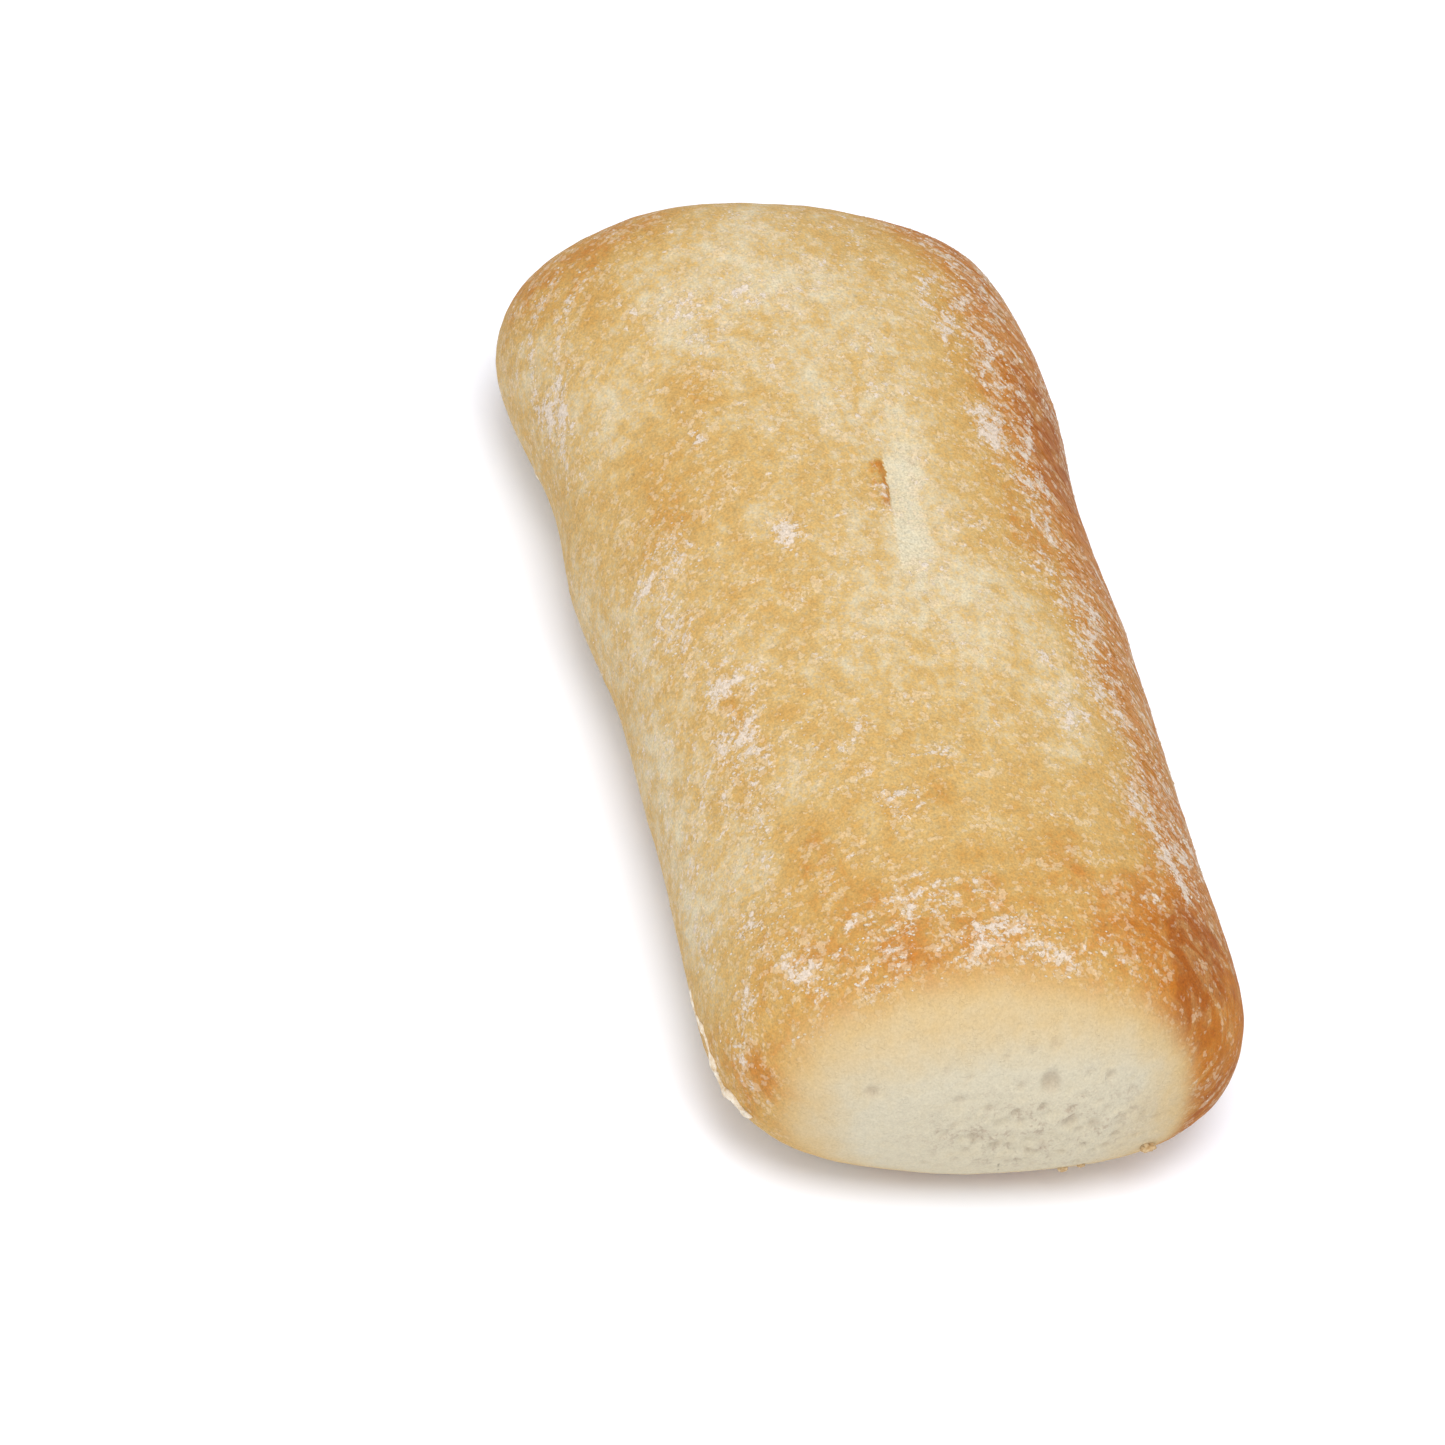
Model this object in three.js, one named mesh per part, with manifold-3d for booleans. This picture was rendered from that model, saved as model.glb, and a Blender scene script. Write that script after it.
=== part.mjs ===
// A ciabatta roll: one loaf of crust and crumb, lying flat on its base, in millimetres, +Z up.
// The origin is on the surface the roll rests on, under its middle. +X is the pale end where the crumb
// shows, and +Y is the browner long side.
import * as THREE from 'three';
import { mergeVertices } from 'three/addons/utils/BufferGeometryUtils.js';
import Module from 'manifold-3d';

const wasm = await Module();
wasm.setup();

// Overall sizes.
const LENGTH = 160;
const WIDTH = 74;
const HEIGHT = 39.3;

// The line round the roll where it is widest, above the base.
const GIRTH_HEIGHT = 15;

// How square the roll is on each side: 2 is an ellipse, and a higher number is nearer a flat face with a
// tight corner.
const SQUARENESS = { front: 10.7, rear: 10.2, right: 2.45, left: 2.2, top: 2.1, under: 2.6 };

// The plan outline. Each is a share of the width, or a shift in millimetres.
const TAPER = -0.02;
const WAIST = 0.073;
const BOW = 1.2;
const SKEW = 3.4;

// The underside: how far the round form would reach past the base before it is pressed flat, and the share of
// the girth height over which the dough has slumped outwards.
const UNDER_REACH = 1.05;
const SLUMP = 0.3;
const SLUMP_START = 0.5;

// Hand-shaped swells and dents, each a smooth bell on the skin with its top at one point.
const BELL_RADIUS = 14;
const BELLS = [
  { at: [-36, -36, 11], rise: -1.4 },
  { at: [-19, -35, 11], rise: 0.6 },
  { at: [-1, -34, 11], rise: -0.7 },
  { at: [30, -33, 12], rise: -0.5 },
  { at: [63, -32, 11], rise: 0.7 },
  { at: [39, 38, 22], rise: -0.5 },
  { at: [23, 37, 23], rise: 0.4 },
  { at: [2, 36.5, 23], rise: 0.4 },
  { at: [-46, 35, 22], rise: 0.8 },
  { at: [-73, 12, 32], rise: -1.0 },
];

// The unevenness that the oven leaves all over the skin.
const UNEVEN_RISE = 0.22;
const UNEVEN_LENGTH = 8;

// The tear on the crown: a crease with a lip on its left, and the stretched, slightly sunken skin on its
// right.
const TEAR = { start: [-19.6, 2.9], end: [-10.1, 2.1], width: 1.2, depth: 0.7, lipWidth: 1.5, lipRise: 0.45 };
const STRETCH = { at: [-12, 4.6], length: 11, width: 3.2, depth: 0.55 };

// The open crumb of the two ends: named pores, by their place across the end and up it, then a scatter.
// A pore's depth and height are shares of its size.
const PORE_DEPTH = 0.55;
const PORE_HEIGHT = 0.84;
const FRONT_PORES = [
  { y: 7.3, z: 25.3, size: 3.4 },
  { y: -16.4, z: 22.7, size: 2.2 },
  { y: -1.5, z: 15.9, size: 2.6 },
  { y: 1.6, z: 14.2, size: 2.0 },
  { y: 11, z: 18.6, size: 2.4 },
  { y: 14.5, z: 17.4, size: 2.2 },
  { y: 3.2, z: 20.6, size: 1.7 },
  { y: 18.2, z: 14.6, size: 1.8 },
  { y: 15.5, z: 25.5, size: 1.8 },
];
const SCATTERS = [
  { side: 1, count: 9, y: [-8, 24], z: [10, 24], size: [1.1, 1.7], seed: 7 },
  { side: -1, count: 6, y: [-18, 16], z: [9, 22], size: [1.1, 2.6], seed: 19 },
];

// Ragged crumbs on the lower edge of the front end. Their length and height are shares of their size.
const CRUMB_SHAPE = { length: 0.9, height: 0.76 };
const CRUMBS = [
  { y: 12.9, z: 6.2, size: 2.0 },
  { y: 15.4, z: 6.8, size: 1.4 },
  { y: 24.3, z: 9.4, size: 2.4 },
];

// Threads of dried dough and flour along the lower flanks, wavering in height.
const THREAD = { radius: 0.55, steps: 26, sides: 5, waver: 0.7, waveLength: 6.5 };
const THREADS = [
  { side: -1, from: 50, to: 73, height: 11 },
  { side: 1, from: -44, to: -14, height: 11.5 },
  { side: 1, from: 22, to: 47, height: 12.5 },
];

// How finely the skin is divided along, across and up the roll.
const DIVISIONS = [38, 22, 12];

// How often a search halves its range, or steps towards its target and by what share of the gap.
const HALVINGS = 40;
const SEARCH = { steps: 40, share: 0.5 };

const CRUST_COLOUR = 0xdcb880;
const CRUST_ROUGHNESS = 0.9;

// The cube's surface point, moved along its own ray until |x|^a + |y|^b + |z|^c = 1.
function skin(cube) {
  const powers = [
    cube[0] > 0 ? SQUARENESS.front : SQUARENESS.rear,
    cube[1] > 0 ? SQUARENESS.right : SQUARENESS.left,
    cube[2] > 0 ? SQUARENESS.top : SQUARENESS.under,
  ];
  let low = 0.4;
  let high = 1;
  for (let halving = 0; halving < HALVINGS; halving++) {
    const scale = (low + high) / 2;
    const sum = cube.reduce((total, c, k) => total + Math.abs(scale * c) ** powers[k], 0);
    if (sum > 1) high = scale;
    else low = scale;
  }
  return cube.map((c) => c * low);
}

// The roll's smooth form: the unit skin stretched to the plan outline and the height, with its underside
// slumped.
function form(cube) {
  const [along, across, up] = skin(cube);
  const halfWidth = (WIDTH / 2) * (1 + TAPER * along + WAIST * (along ** 2 - 1 / 3));
  const share = 1 + UNDER_REACH * up;
  const slumped = share - (SLUMP * Math.max(SLUMP_START - share, 0) ** 2) / SLUMP_START;
  return [
    (LENGTH / 2) * along,
    halfWidth * across + BOW * (1 - along ** 2) + SKEW * along,
    up > 0 ? GIRTH_HEIGHT + (HEIGHT - GIRTH_HEIGHT) * up : GIRTH_HEIGHT * slumped,
  ];
}

// The direction away from the roll's inner line, which runs along it at the girth.
function outward([x, y, z]) {
  const reach = (LENGTH - WIDTH) / 2;
  const inner = THREE.MathUtils.clamp(x, -reach, reach);
  return new THREE.Vector3(x - inner, y, z - GIRTH_HEIGHT).normalize();
}

function bells(point) {
  return BELLS.reduce((total, bell) => {
    const gap = bell.at.reduce((sum, c, k) => sum + (point[k] - c) ** 2, 0);
    return total + bell.rise * Math.exp(-gap / BELL_RADIUS ** 2);
  }, 0);
}

function unevenness([x, y, z]) {
  const broad = Math.sin(x / UNEVEN_LENGTH + 0.6) * Math.cos((y + z) / UNEVEN_LENGTH);
  const cross = Math.sin((x + 1.7 * y) / (0.8 * UNEVEN_LENGTH) + 2) * Math.cos(z / UNEVEN_LENGTH);
  return UNEVEN_RISE * (broad + 0.6 * cross);
}

// The crown's relief round the tear: the stretched skin's hollow and the lip.
function crownRelief([x, y, z]) {
  if (z < GIRTH_HEIGHT) return 0;
  const ahead = (x - STRETCH.at[0]) / STRETCH.length;
  const aside = (y - STRETCH.at[1]) / STRETCH.width;
  return -STRETCH.depth * Math.exp(-(ahead ** 2) - aside ** 2);
}

// The skin's point for a point of the cube, with its base pressed flat.
function surface(cube) {
  const point = form(cube);
  const rise = bells(point) + unevenness(point) + crownRelief(point);
  const moved = outward(point).multiplyScalar(rise).add(new THREE.Vector3(...point));
  moved.z = Math.max(moved.z, 0);
  return moved;
}

// The point of the skin on one side of the roll whose other two coordinates are those of the target.
// The cube point is stepped towards it.
function pointOn(axis, side, target) {
  const half = [LENGTH / 2, WIDTH / 2, HEIGHT / 2];
  const cube = [0, 0, 0];
  cube[axis] = side;
  for (let step = 0; step < SEARCH.steps; step++) {
    const now = surface(cube).toArray();
    for (let k = 0; k < 3; k++) {
      const shift = (SEARCH.share * (target[k] - now[k])) / half[k];
      if (k !== axis) cube[k] = THREE.MathUtils.clamp(cube[k] + shift, -1, 1);
    }
  }
  return surface(cube);
}

// A closed geometry as a solid, its shared corners merged.
function solidOf(geometry) {
  geometry.deleteAttribute('normal');
  geometry.deleteAttribute('uv');
  const merged = mergeVertices(geometry, 1e-5);
  const vertProperties = Float32Array.from(merged.attributes.position.array);
  const triVerts = Uint32Array.from(merged.index.array);
  return new wasm.Manifold(new wasm.Mesh({ numProp: 3, vertProperties, triVerts }));
}

function geometryOf(solid) {
  const mesh = solid.getMesh();
  const geometry = new THREE.BufferGeometry();
  geometry.setAttribute('position', new THREE.BufferAttribute(mesh.vertProperties, 3));
  geometry.setIndex(new THREE.BufferAttribute(mesh.triVerts, 1));
  geometry.computeVertexNormals();
  return geometry;
}

// The plain roll: a divided cube whose points are all moved to the skin.
function rollBody() {
  const geometry = new THREE.BoxGeometry(2, 2, 2, ...DIVISIONS);
  const corners = geometry.attributes.position;
  for (let k = 0; k < corners.count; k++) {
    corners.setXYZ(k, ...surface([corners.getX(k), corners.getY(k), corners.getZ(k)]).toArray());
  }
  return solidOf(geometry);
}

// A small ball squashed to three half-sizes, turned about Z, at a point.
function pebble(centre, halfSizes, turn = 0) {
  const geometry = new THREE.IcosahedronGeometry(1, 1);
  geometry.scale(...halfSizes);
  geometry.rotateZ(turn);
  geometry.translate(...centre.toArray());
  return solidOf(geometry);
}

// Repeatable numbers from 0 to 1.
function* draws(seed) {
  let state = seed;
  while (true) {
    state = (state * 1103515245 + 12345) % 2147483648;
    yield state / 2147483648;
  }
}

// The hollow of one pore in an end.
function pore(side, { y, z, size }) {
  const mouth = pointOn(0, side, [0, y, z]);
  mouth.x += side * size * (0.5 - PORE_DEPTH);
  return pebble(mouth, [size / 2, size / 2, (PORE_HEIGHT * size) / 2]);
}

function pores() {
  const hollows = FRONT_PORES.map((place) => pore(1, place));
  for (const { side, count, y, z, size, seed } of SCATTERS) {
    const draw = draws(seed);
    const between = ([low, high]) => low + (high - low) * draw.next().value;
    for (let k = 0; k < count; k++) {
      hollows.push(pore(side, { y: between(y), z: between(z), size: between(size) }));
    }
  }
  return hollows;
}

// The crease of the tear, and the lip that stands along its left.
function tearPebble(sideways, width, thickness) {
  const [x0, y0] = TEAR.start;
  const [x1, y1] = TEAR.end;
  const run = Math.hypot(x1 - x0, y1 - y0);
  const centre = pointOn(2, 1, [(x0 + x1) / 2, (y0 + y1) / 2 + sideways, 0]);
  return pebble(centre, [run / 2, width / 2, thickness], Math.atan2(y1 - y0, x1 - x0));
}

function crumb({ y, z, size }) {
  const seat = pointOn(0, 1, [0, y, z]);
  const half = [CRUMB_SHAPE.length, 1, CRUMB_SHAPE.height].map((share) => (share * size) / 2);
  return pebble(seat, half, y);
}

// One thread: a thin round strip laid along the flank, half sunk in it.
function thread({ side, from, to, height }) {
  const path = [];
  for (let k = 0; k <= THREAD.steps; k++) {
    const x = from + ((to - from) * k) / THREAD.steps;
    const swing = THREAD.waver * Math.sin((2 * Math.PI * x) / THREAD.waveLength);
    path.push(pointOn(1, side, [x, 0, height + swing]));
  }
  const outline = new THREE.Shape();
  outline.absarc(0, 0, THREAD.radius, 0, 2 * Math.PI);
  const extrudePath = new THREE.CatmullRomCurve3(path);
  const options = { steps: THREAD.steps, curveSegments: THREAD.sides, bevelEnabled: false, extrudePath };
  return solidOf(new THREE.ExtrudeGeometry(outline, options));
}

function roll() {
  const hollows = [...pores(), tearPebble(0, TEAR.width, TEAR.depth)];
  const lip = tearPebble(-(TEAR.width + TEAR.lipWidth) / 2, TEAR.lipWidth, TEAR.lipRise);
  const proud = [lip, ...CRUMBS.map(crumb), ...THREADS.map(thread)];
  const whole = proud.reduce((solid, piece) => solid.add(piece), rollBody());
  const open = hollows.reduce((solid, piece) => solid.subtract(piece), whole);
  const crust = new THREE.MeshStandardMaterial({
    color: CRUST_COLOUR,
    roughness: CRUST_ROUGHNESS,
    metalness: 0,
  });
  const mesh = new THREE.Mesh(geometryOf(open), crust);
  mesh.name = 'roll';
  return mesh;
}

const ciabatta = new THREE.Group();
ciabatta.add(roll());

export default ciabatta;
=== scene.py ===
"""The looks of a ciabatta roll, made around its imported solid.

Shapes are worked out in millimetres and written to the meshes in metres, +Z up, in the solid's own frame.
+X is the pale end where the crumb shows, and +Y is the browner long side.
"""

import logging
from dataclasses import dataclass, field
from enum import Enum
from typing import Iterator, TypeVar, Union

import bpy
import numpy as np
from mathutils import Matrix, Vector


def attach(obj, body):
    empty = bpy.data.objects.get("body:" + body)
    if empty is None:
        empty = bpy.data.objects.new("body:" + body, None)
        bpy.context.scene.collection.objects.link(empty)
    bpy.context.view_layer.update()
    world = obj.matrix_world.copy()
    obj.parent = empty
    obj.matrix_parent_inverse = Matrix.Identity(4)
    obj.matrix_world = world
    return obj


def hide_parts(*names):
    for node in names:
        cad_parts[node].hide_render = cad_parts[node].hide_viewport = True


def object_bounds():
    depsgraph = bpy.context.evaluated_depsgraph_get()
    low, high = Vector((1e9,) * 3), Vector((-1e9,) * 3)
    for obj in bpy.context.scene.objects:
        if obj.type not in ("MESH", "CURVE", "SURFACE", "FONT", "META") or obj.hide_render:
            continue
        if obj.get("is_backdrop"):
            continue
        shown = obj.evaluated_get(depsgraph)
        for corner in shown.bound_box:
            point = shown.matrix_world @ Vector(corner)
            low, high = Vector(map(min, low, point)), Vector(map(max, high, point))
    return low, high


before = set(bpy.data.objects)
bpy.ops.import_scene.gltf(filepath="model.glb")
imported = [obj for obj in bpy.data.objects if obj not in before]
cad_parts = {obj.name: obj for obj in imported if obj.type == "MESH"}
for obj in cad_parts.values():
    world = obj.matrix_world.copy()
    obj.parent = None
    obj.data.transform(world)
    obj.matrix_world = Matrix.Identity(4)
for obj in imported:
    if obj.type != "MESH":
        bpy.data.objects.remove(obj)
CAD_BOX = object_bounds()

Array = np.ndarray
Pair = tuple[float, float]
Triple = tuple[float, float, float]
Stops = tuple[tuple[float, str], ...]
Socket = bpy.types.NodeSocket
Value = Union[Socket, float, tuple[float, ...]]
Kind = TypeVar("Kind")
MM = 0.001
BODY = "root"
# The odd factors and shifts that mix whole numbers, and the largest number of 32 bits.
HASH_FACTORS = (0x9E3779B1, 0x85EBCA77, 0xC2B2AE3D)
HASH_SEED = 0x27D4EB2F
HASH_ROUNDS = ((15, 0x2C1B3C6D), (12, 0x297A2D39))
HASH_LAST_SHIFT = 15
HASH_TOP = 0xFFFFFFFF
# The factor, the step and the divisor of the numbers drawn in turn.
DRAW_FACTOR, DRAW_STEP, DRAW_DIVISOR = 1103515245.0, 12345.0, 2147483648.0
# How the skin is found: the nearest it comes to the middle of the cube, and how often a search steps.
NEAREST_SKIN = 0.4
HALVINGS = 40
SEARCH_STEPS = 40
log = logging.getLogger("ciabatta")


# Small tools for numbers


def smooth_step(low: float, high: float, value: Array) -> Array:
    """Rises from 0 at low to 1 at high along 3t^2 - 2t^3.

    Args:
        low: value at which the result leaves 0. It may lie above high, for a falling step.
        high: value at which the result reaches 1.
        value: numbers to map.

    Returns:
        The steps, one for each number.
    """
    t = np.clip((value - low) / (high - low), 0.0, 1.0)
    return t * t * (3.0 - 2.0 * t)


def bell(distance: Array, radius: float) -> Array:
    """The bell exp(-(distance / radius)^2)."""
    return np.exp(-((distance / radius) ** 2))


def hashed(cells: Array, seed: int) -> Array:
    """Repeatable numbers from 0 to 1 for whole-numbered cells.

    Args:
        cells: whole numbers, the last axis holding a cell's three indices.
        seed: picks one of many unrelated sets of numbers.

    Returns:
        One number for each cell, from its indices multiplied by large odd numbers and mixed by shifts.
    """
    parts = cells.astype(np.int64).astype(np.uint64) * np.array(HASH_FACTORS, np.uint64)
    top = np.uint64(HASH_TOP)
    mixed = (np.bitwise_xor.reduce(parts, axis=-1) + np.uint64(seed * HASH_SEED)) & top
    for shift, factor in HASH_ROUNDS:
        mixed = ((mixed ^ (mixed >> np.uint64(shift))) * np.uint64(factor)) & top
    mixed ^= mixed >> np.uint64(HASH_LAST_SHIFT)
    return mixed.astype(np.float64) / float(HASH_TOP)


def lattice_noise(points: Array, cell: float, seed: int) -> Array:
    """Smooth noise from -1 to 1: random numbers at the corners of a cubic lattice, blended by 3t^2 - 2t^3.

    Args:
        points: places, the last axis holding x, y and z.
        cell: side of the lattice's cubes, in the points' unit.
        seed: picks the random numbers.

    Returns:
        The noise at each place.
    """
    scaled = points / cell
    base = np.floor(scaled)
    part = scaled - base
    part = part * part * (3.0 - 2.0 * part)
    total = np.zeros(points.shape[:-1])
    for corner in np.ndindex(2, 2, 2):
        offset = np.array(corner)
        weight = np.prod(np.where(offset == 1, part, 1.0 - part), axis=-1)
        total += weight * hashed(base + offset, seed)
    return 2.0 * total - 1.0


def fractal_noise(points: Array, cell: float, seed: int, octaves: int) -> Array:
    """Sum of lattice noises, each of half the cell and half the height of the one before."""
    return sum(0.5**k * lattice_noise(points, cell * 0.5**k, seed + k) for k in range(octaves))


def cell_pits(points: Array, cell: float, share: float, seed: int) -> Array:
    """Round pits scattered one to a cube of a lattice.

    Args:
        points: places, the last axis holding x, y and z.
        cell: side of the lattice's cubes.
        share: share of the cubes that have a pit.
        seed: picks the pits.

    Returns:
        How deep each place lies in its pit, from 0 at the rim to 1 at the middle: 1 - (distance / radius)^2,
        where a pit's radius is 0.2 to 0.5 of the cell.
    """
    base = np.floor(points / cell)
    deepest = np.zeros(points.shape[:-1])
    for step in np.ndindex(3, 3, 3):
        cube = base + np.array(step) - 1.0
        middle = np.stack([hashed(cube, seed + k) for k in range(3)], axis=-1)
        gap = np.linalg.norm(points / cell - cube - middle, axis=-1)
        radius = 0.2 + 0.3 * hashed(cube, seed + 3)
        depth = np.clip(1.0 - (gap / radius) ** 2, 0.0, 1.0)
        deepest = np.maximum(deepest, np.where(hashed(cube, seed + 4) < share, depth, 0.0))
    return deepest


def draws(seed: int) -> Iterator[float]:
    """Repeatable numbers from 0 to 1, each from the last by one multiplication and one remainder."""
    state = float(seed)
    while True:
        state = (state * DRAW_FACTOR + DRAW_STEP) % DRAW_DIVISOR
        yield state / DRAW_DIVISOR


def rows_of(kind: type[Kind], *rows: tuple) -> tuple[Kind, ...]:
    """Things of one kind, each from its row of numbers."""
    return tuple(kind(*row) for row in rows)


# Meshes


def mesh_object(name: str, points: Array, faces: Array, material: bpy.types.Material) -> bpy.types.Object:
    """Makes a smooth mesh object that rides on the roll's body.

    Args:
        name: the object's name.
        points: vertices in millimetres.
        faces: vertex numbers, one row for each face.
        material: its finish.

    Returns:
        The object, linked to the scene.
    """
    mesh = bpy.data.meshes.new(name)
    mesh.from_pydata((points * MM).tolist(), [], faces.tolist())
    mesh.validate()
    mesh.shade_smooth()
    mesh.materials.append(material)
    piece = bpy.data.objects.new(name, mesh)
    bpy.context.scene.collection.objects.link(piece)
    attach(piece, BODY)
    log.info("%s: %d vertices, %d faces", name, len(mesh.vertices), len(mesh.polygons))
    return piece


def joined(parts: list[tuple[Array, Array]]) -> tuple[Array, Array]:
    """Joins meshes, each its points and its faces, into one."""
    starts = np.cumsum([0] + [len(points) for points, _ in parts[:-1]])
    faces = [own + start for (_, own), start in zip(parts, starts)]
    return np.concatenate([points for points, _ in parts]), np.concatenate(faces)


def read_values(items: bpy.types.bpy_prop_collection, name: str, width: int, kind: type) -> Array:
    """Reads a property of each of a mesh's items.

    Args:
        items: the mesh's vertices, loops, faces or the data of an attribute.
        name: the property.
        width: how many numbers it has.
        kind: the type of its numbers.

    Returns:
        The numbers, one row for each item.
    """
    values = np.empty(len(items) * width, kind)
    items.foreach_get(name, values)
    return values.reshape(-1, width)


def divided_cube(gradings: tuple[Array, Array, Array]) -> tuple[Array, Array]:
    """Divides the six faces of a cube, with every point once.

    Args:
        gradings: for each direction, the divisions' coordinates in rising order.

    Returns:
        The points and the outward quads.
    """
    counts = np.array([len(grading) - 1 for grading in gradings])
    weight = np.array([(counts[1] + 1) * (counts[2] + 1), counts[2] + 1, 1])
    keys = []
    for axis in range(3):
        b, c = (axis + 1) % 3, (axis + 2) % 3
        j, k = np.meshgrid(np.arange(counts[b]), np.arange(counts[c]), indexing="ij")
        for side in (0, 1):
            corners = [
                (side * counts[axis] * weight[axis] + (j + dj) * weight[b] + (k + dk) * weight[c]).ravel()
                for dj, dk in ((0, 0), (1, 0), (1, 1), (0, 1))
            ]
            quads = np.stack(corners, axis=1)
            keys.append(quads if side else quads[:, ::-1])
    used, faces = np.unique(np.concatenate(keys), return_inverse=True)
    index = (used // weight[0], used % weight[0] // weight[1], used % weight[1])
    return np.stack([grading[i] for grading, i in zip(gradings, index)], axis=1), faces.reshape(-1, 4)


def vertex_normals(points: Array, quads: Array) -> Array:
    """Unit normals of a quad mesh.

    Args:
        points: the vertices.
        quads: vertex numbers, four to a row.

    Returns:
        One normal for each vertex: a cross product of two lines of each quad, summed at its corners.
    """
    corner = points[quads]
    flat = np.cross(corner[:, 2] - corner[:, 0], corner[:, 3] - corner[:, 1])
    total = np.zeros_like(points)
    for k in range(4):
        np.add.at(total, quads[:, k], flat)
    return total / np.linalg.norm(total, axis=1, keepdims=True)


# The roll's form


class Axis(Enum):
    """The roll's two level directions, as the place of each in a point."""

    ALONG = 0
    ACROSS = 1


@dataclass(frozen=True)
class RollForm:
    """The roll's smooth form, in millimetres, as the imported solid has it."""

    length: float = 160.0
    width: float = 74.0
    height: float = 39.3
    girth_height: float = 15.0
    # How square the form is towards each side: 2 is an ellipse.
    square_high: Triple = (10.7, 2.45, 2.1)
    square_low: Triple = (10.2, 2.2, 2.6)
    taper: float = -0.02
    waist: float = 0.073
    bow: float = 1.2
    skew: float = 3.4
    under_reach: float = 1.05
    slump: float = 0.3
    slump_start: float = 0.5
    bell_radius: float = 14.0
    # Swells and dents: x, y, z and rise.
    bells: tuple[tuple[float, float, float, float], ...] = (
        (-36, -36, 11, -1.4), (-19, -35, 11, 0.6), (-1, -34, 11, -0.7), (30, -33, 12, -0.5),
        (63, -32, 11, 0.7), (39, 38, 22, -0.5), (23, 37, 23, 0.4), (2, 36.5, 23, 0.4), (-46, 35, 22, 0.8),
        (-73, 12, 32, -1.0),
    )
    uneven_rise: float = 0.22
    uneven_length: float = 8.0
    # The sunken, stretched skin beside the tear: x, y, half length, half width and depth.
    stretch: tuple[float, float, float, float, float] = (-12.0, 4.6, 11.0, 3.2, 0.55)

    def skin(self, cube: Array) -> Array:
        """Moves points of a cube along their own rays until |x|^a + |y|^b + |z|^c = 1.

        Args:
            cube: points on the cube from -1 to 1.

        Returns:
            The moved points, found by halving the way between too near and too far again and again.
        """
        powers = np.where(cube > 0, self.square_high, self.square_low)
        size = np.abs(cube)
        low = np.full(len(cube), NEAREST_SKIN)
        high = np.ones(len(cube))
        for _ in range(HALVINGS):
            middle = (low + high) / 2
            outside = ((middle[:, None] * size) ** powers).sum(axis=1) > 1.0
            high = np.where(outside, middle, high)
            low = np.where(outside, low, middle)
        return cube * low[:, None]

    def smooth(self, cube: Array) -> Array:
        """The unit skin stretched to the plan outline and the height, with its underside slumped outwards.

        Args:
            cube: points on the cube from -1 to 1.

        Returns:
            The points of the smooth form.
        """
        along, across, up = self.skin(cube).T
        half_width = self.width / 2 * (1 + self.taper * along + self.waist * (along**2 - 1 / 3))
        share = 1 + self.under_reach * up
        slumped = share - self.slump * np.maximum(self.slump_start - share, 0) ** 2 / self.slump_start
        y = half_width * across + self.bow * (1 - along**2) + self.skew * along
        over = self.girth_height + (self.height - self.girth_height) * up
        z = np.where(up > 0, over, self.girth_height * slumped)
        return np.stack([self.length / 2 * along, y, z], axis=1)

    def from_inner_line(self, points: Array) -> Array:
        """The way to each point from the line that runs inside the roll at the height of its girth."""
        reach = (self.length - self.width) / 2
        away = points.copy()
        away[:, 0] -= np.clip(points[:, 0], -reach, reach)
        away[:, 2] -= self.girth_height
        return away

    def outward(self, points: Array) -> Array:
        """Unit directions away from the inner line."""
        away = self.from_inner_line(points)
        return away / np.linalg.norm(away, axis=1, keepdims=True)

    def rise(self, points: Array) -> Array:
        """How far the swells, the oven's unevenness and the stretched skin lift each point outwards.

        Args:
            points: points of the smooth form.

        Returns:
            Millimetres: bells, two crossed waves of low height and a long hollow.
        """
        x, y, z = points.T
        total = np.zeros(len(points))
        for *place, height in self.bells:
            total += height * bell(np.linalg.norm(points - place, axis=1), self.bell_radius)
        broad = np.sin(x / self.uneven_length + 0.6) * np.cos((y + z) / self.uneven_length)
        cross = np.sin((x + 1.7 * y) / (0.8 * self.uneven_length) + 2) * np.cos(z / self.uneven_length)
        x0, y0, half_length, half_width, depth = self.stretch
        hollow = bell(np.hypot((x - x0) / half_length, (y - y0) / half_width), 1.0) * (z > self.girth_height)
        return total + self.uneven_rise * (broad + 0.6 * cross) - depth * hollow

    def surface(self, cube: Array) -> Array:
        """The skin's points for points of the cube, with the base pressed flat."""
        points = self.smooth(cube)
        points = points + self.outward(points) * self.rise(points)[:, None]
        points[:, 2] = np.maximum(points[:, 2], 0.0)
        return points

    def points_on(self, axis: Axis, side: float, targets: Array) -> Array:
        """Finds points of the skin by their other two coordinates.

        Args:
            axis: the direction in which the wanted side of the roll faces.
            side: 1 or -1.
            targets: wanted coordinates; the one along axis is ignored.

        Returns:
            The points, found by stepping the cube's points half of the way to the targets again and again.
        """
        free = [k for k in range(3) if k != axis.value]
        half = np.array([self.length, self.width, self.height]) / 2
        cube = np.zeros_like(targets)
        cube[:, axis.value] = side
        for _ in range(SEARCH_STEPS):
            step = 0.5 * (targets - self.surface(cube))[:, free] / half[free]
            cube[:, free] = np.clip(cube[:, free] + step, -1.0, 1.0)
        return self.surface(cube)

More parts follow.
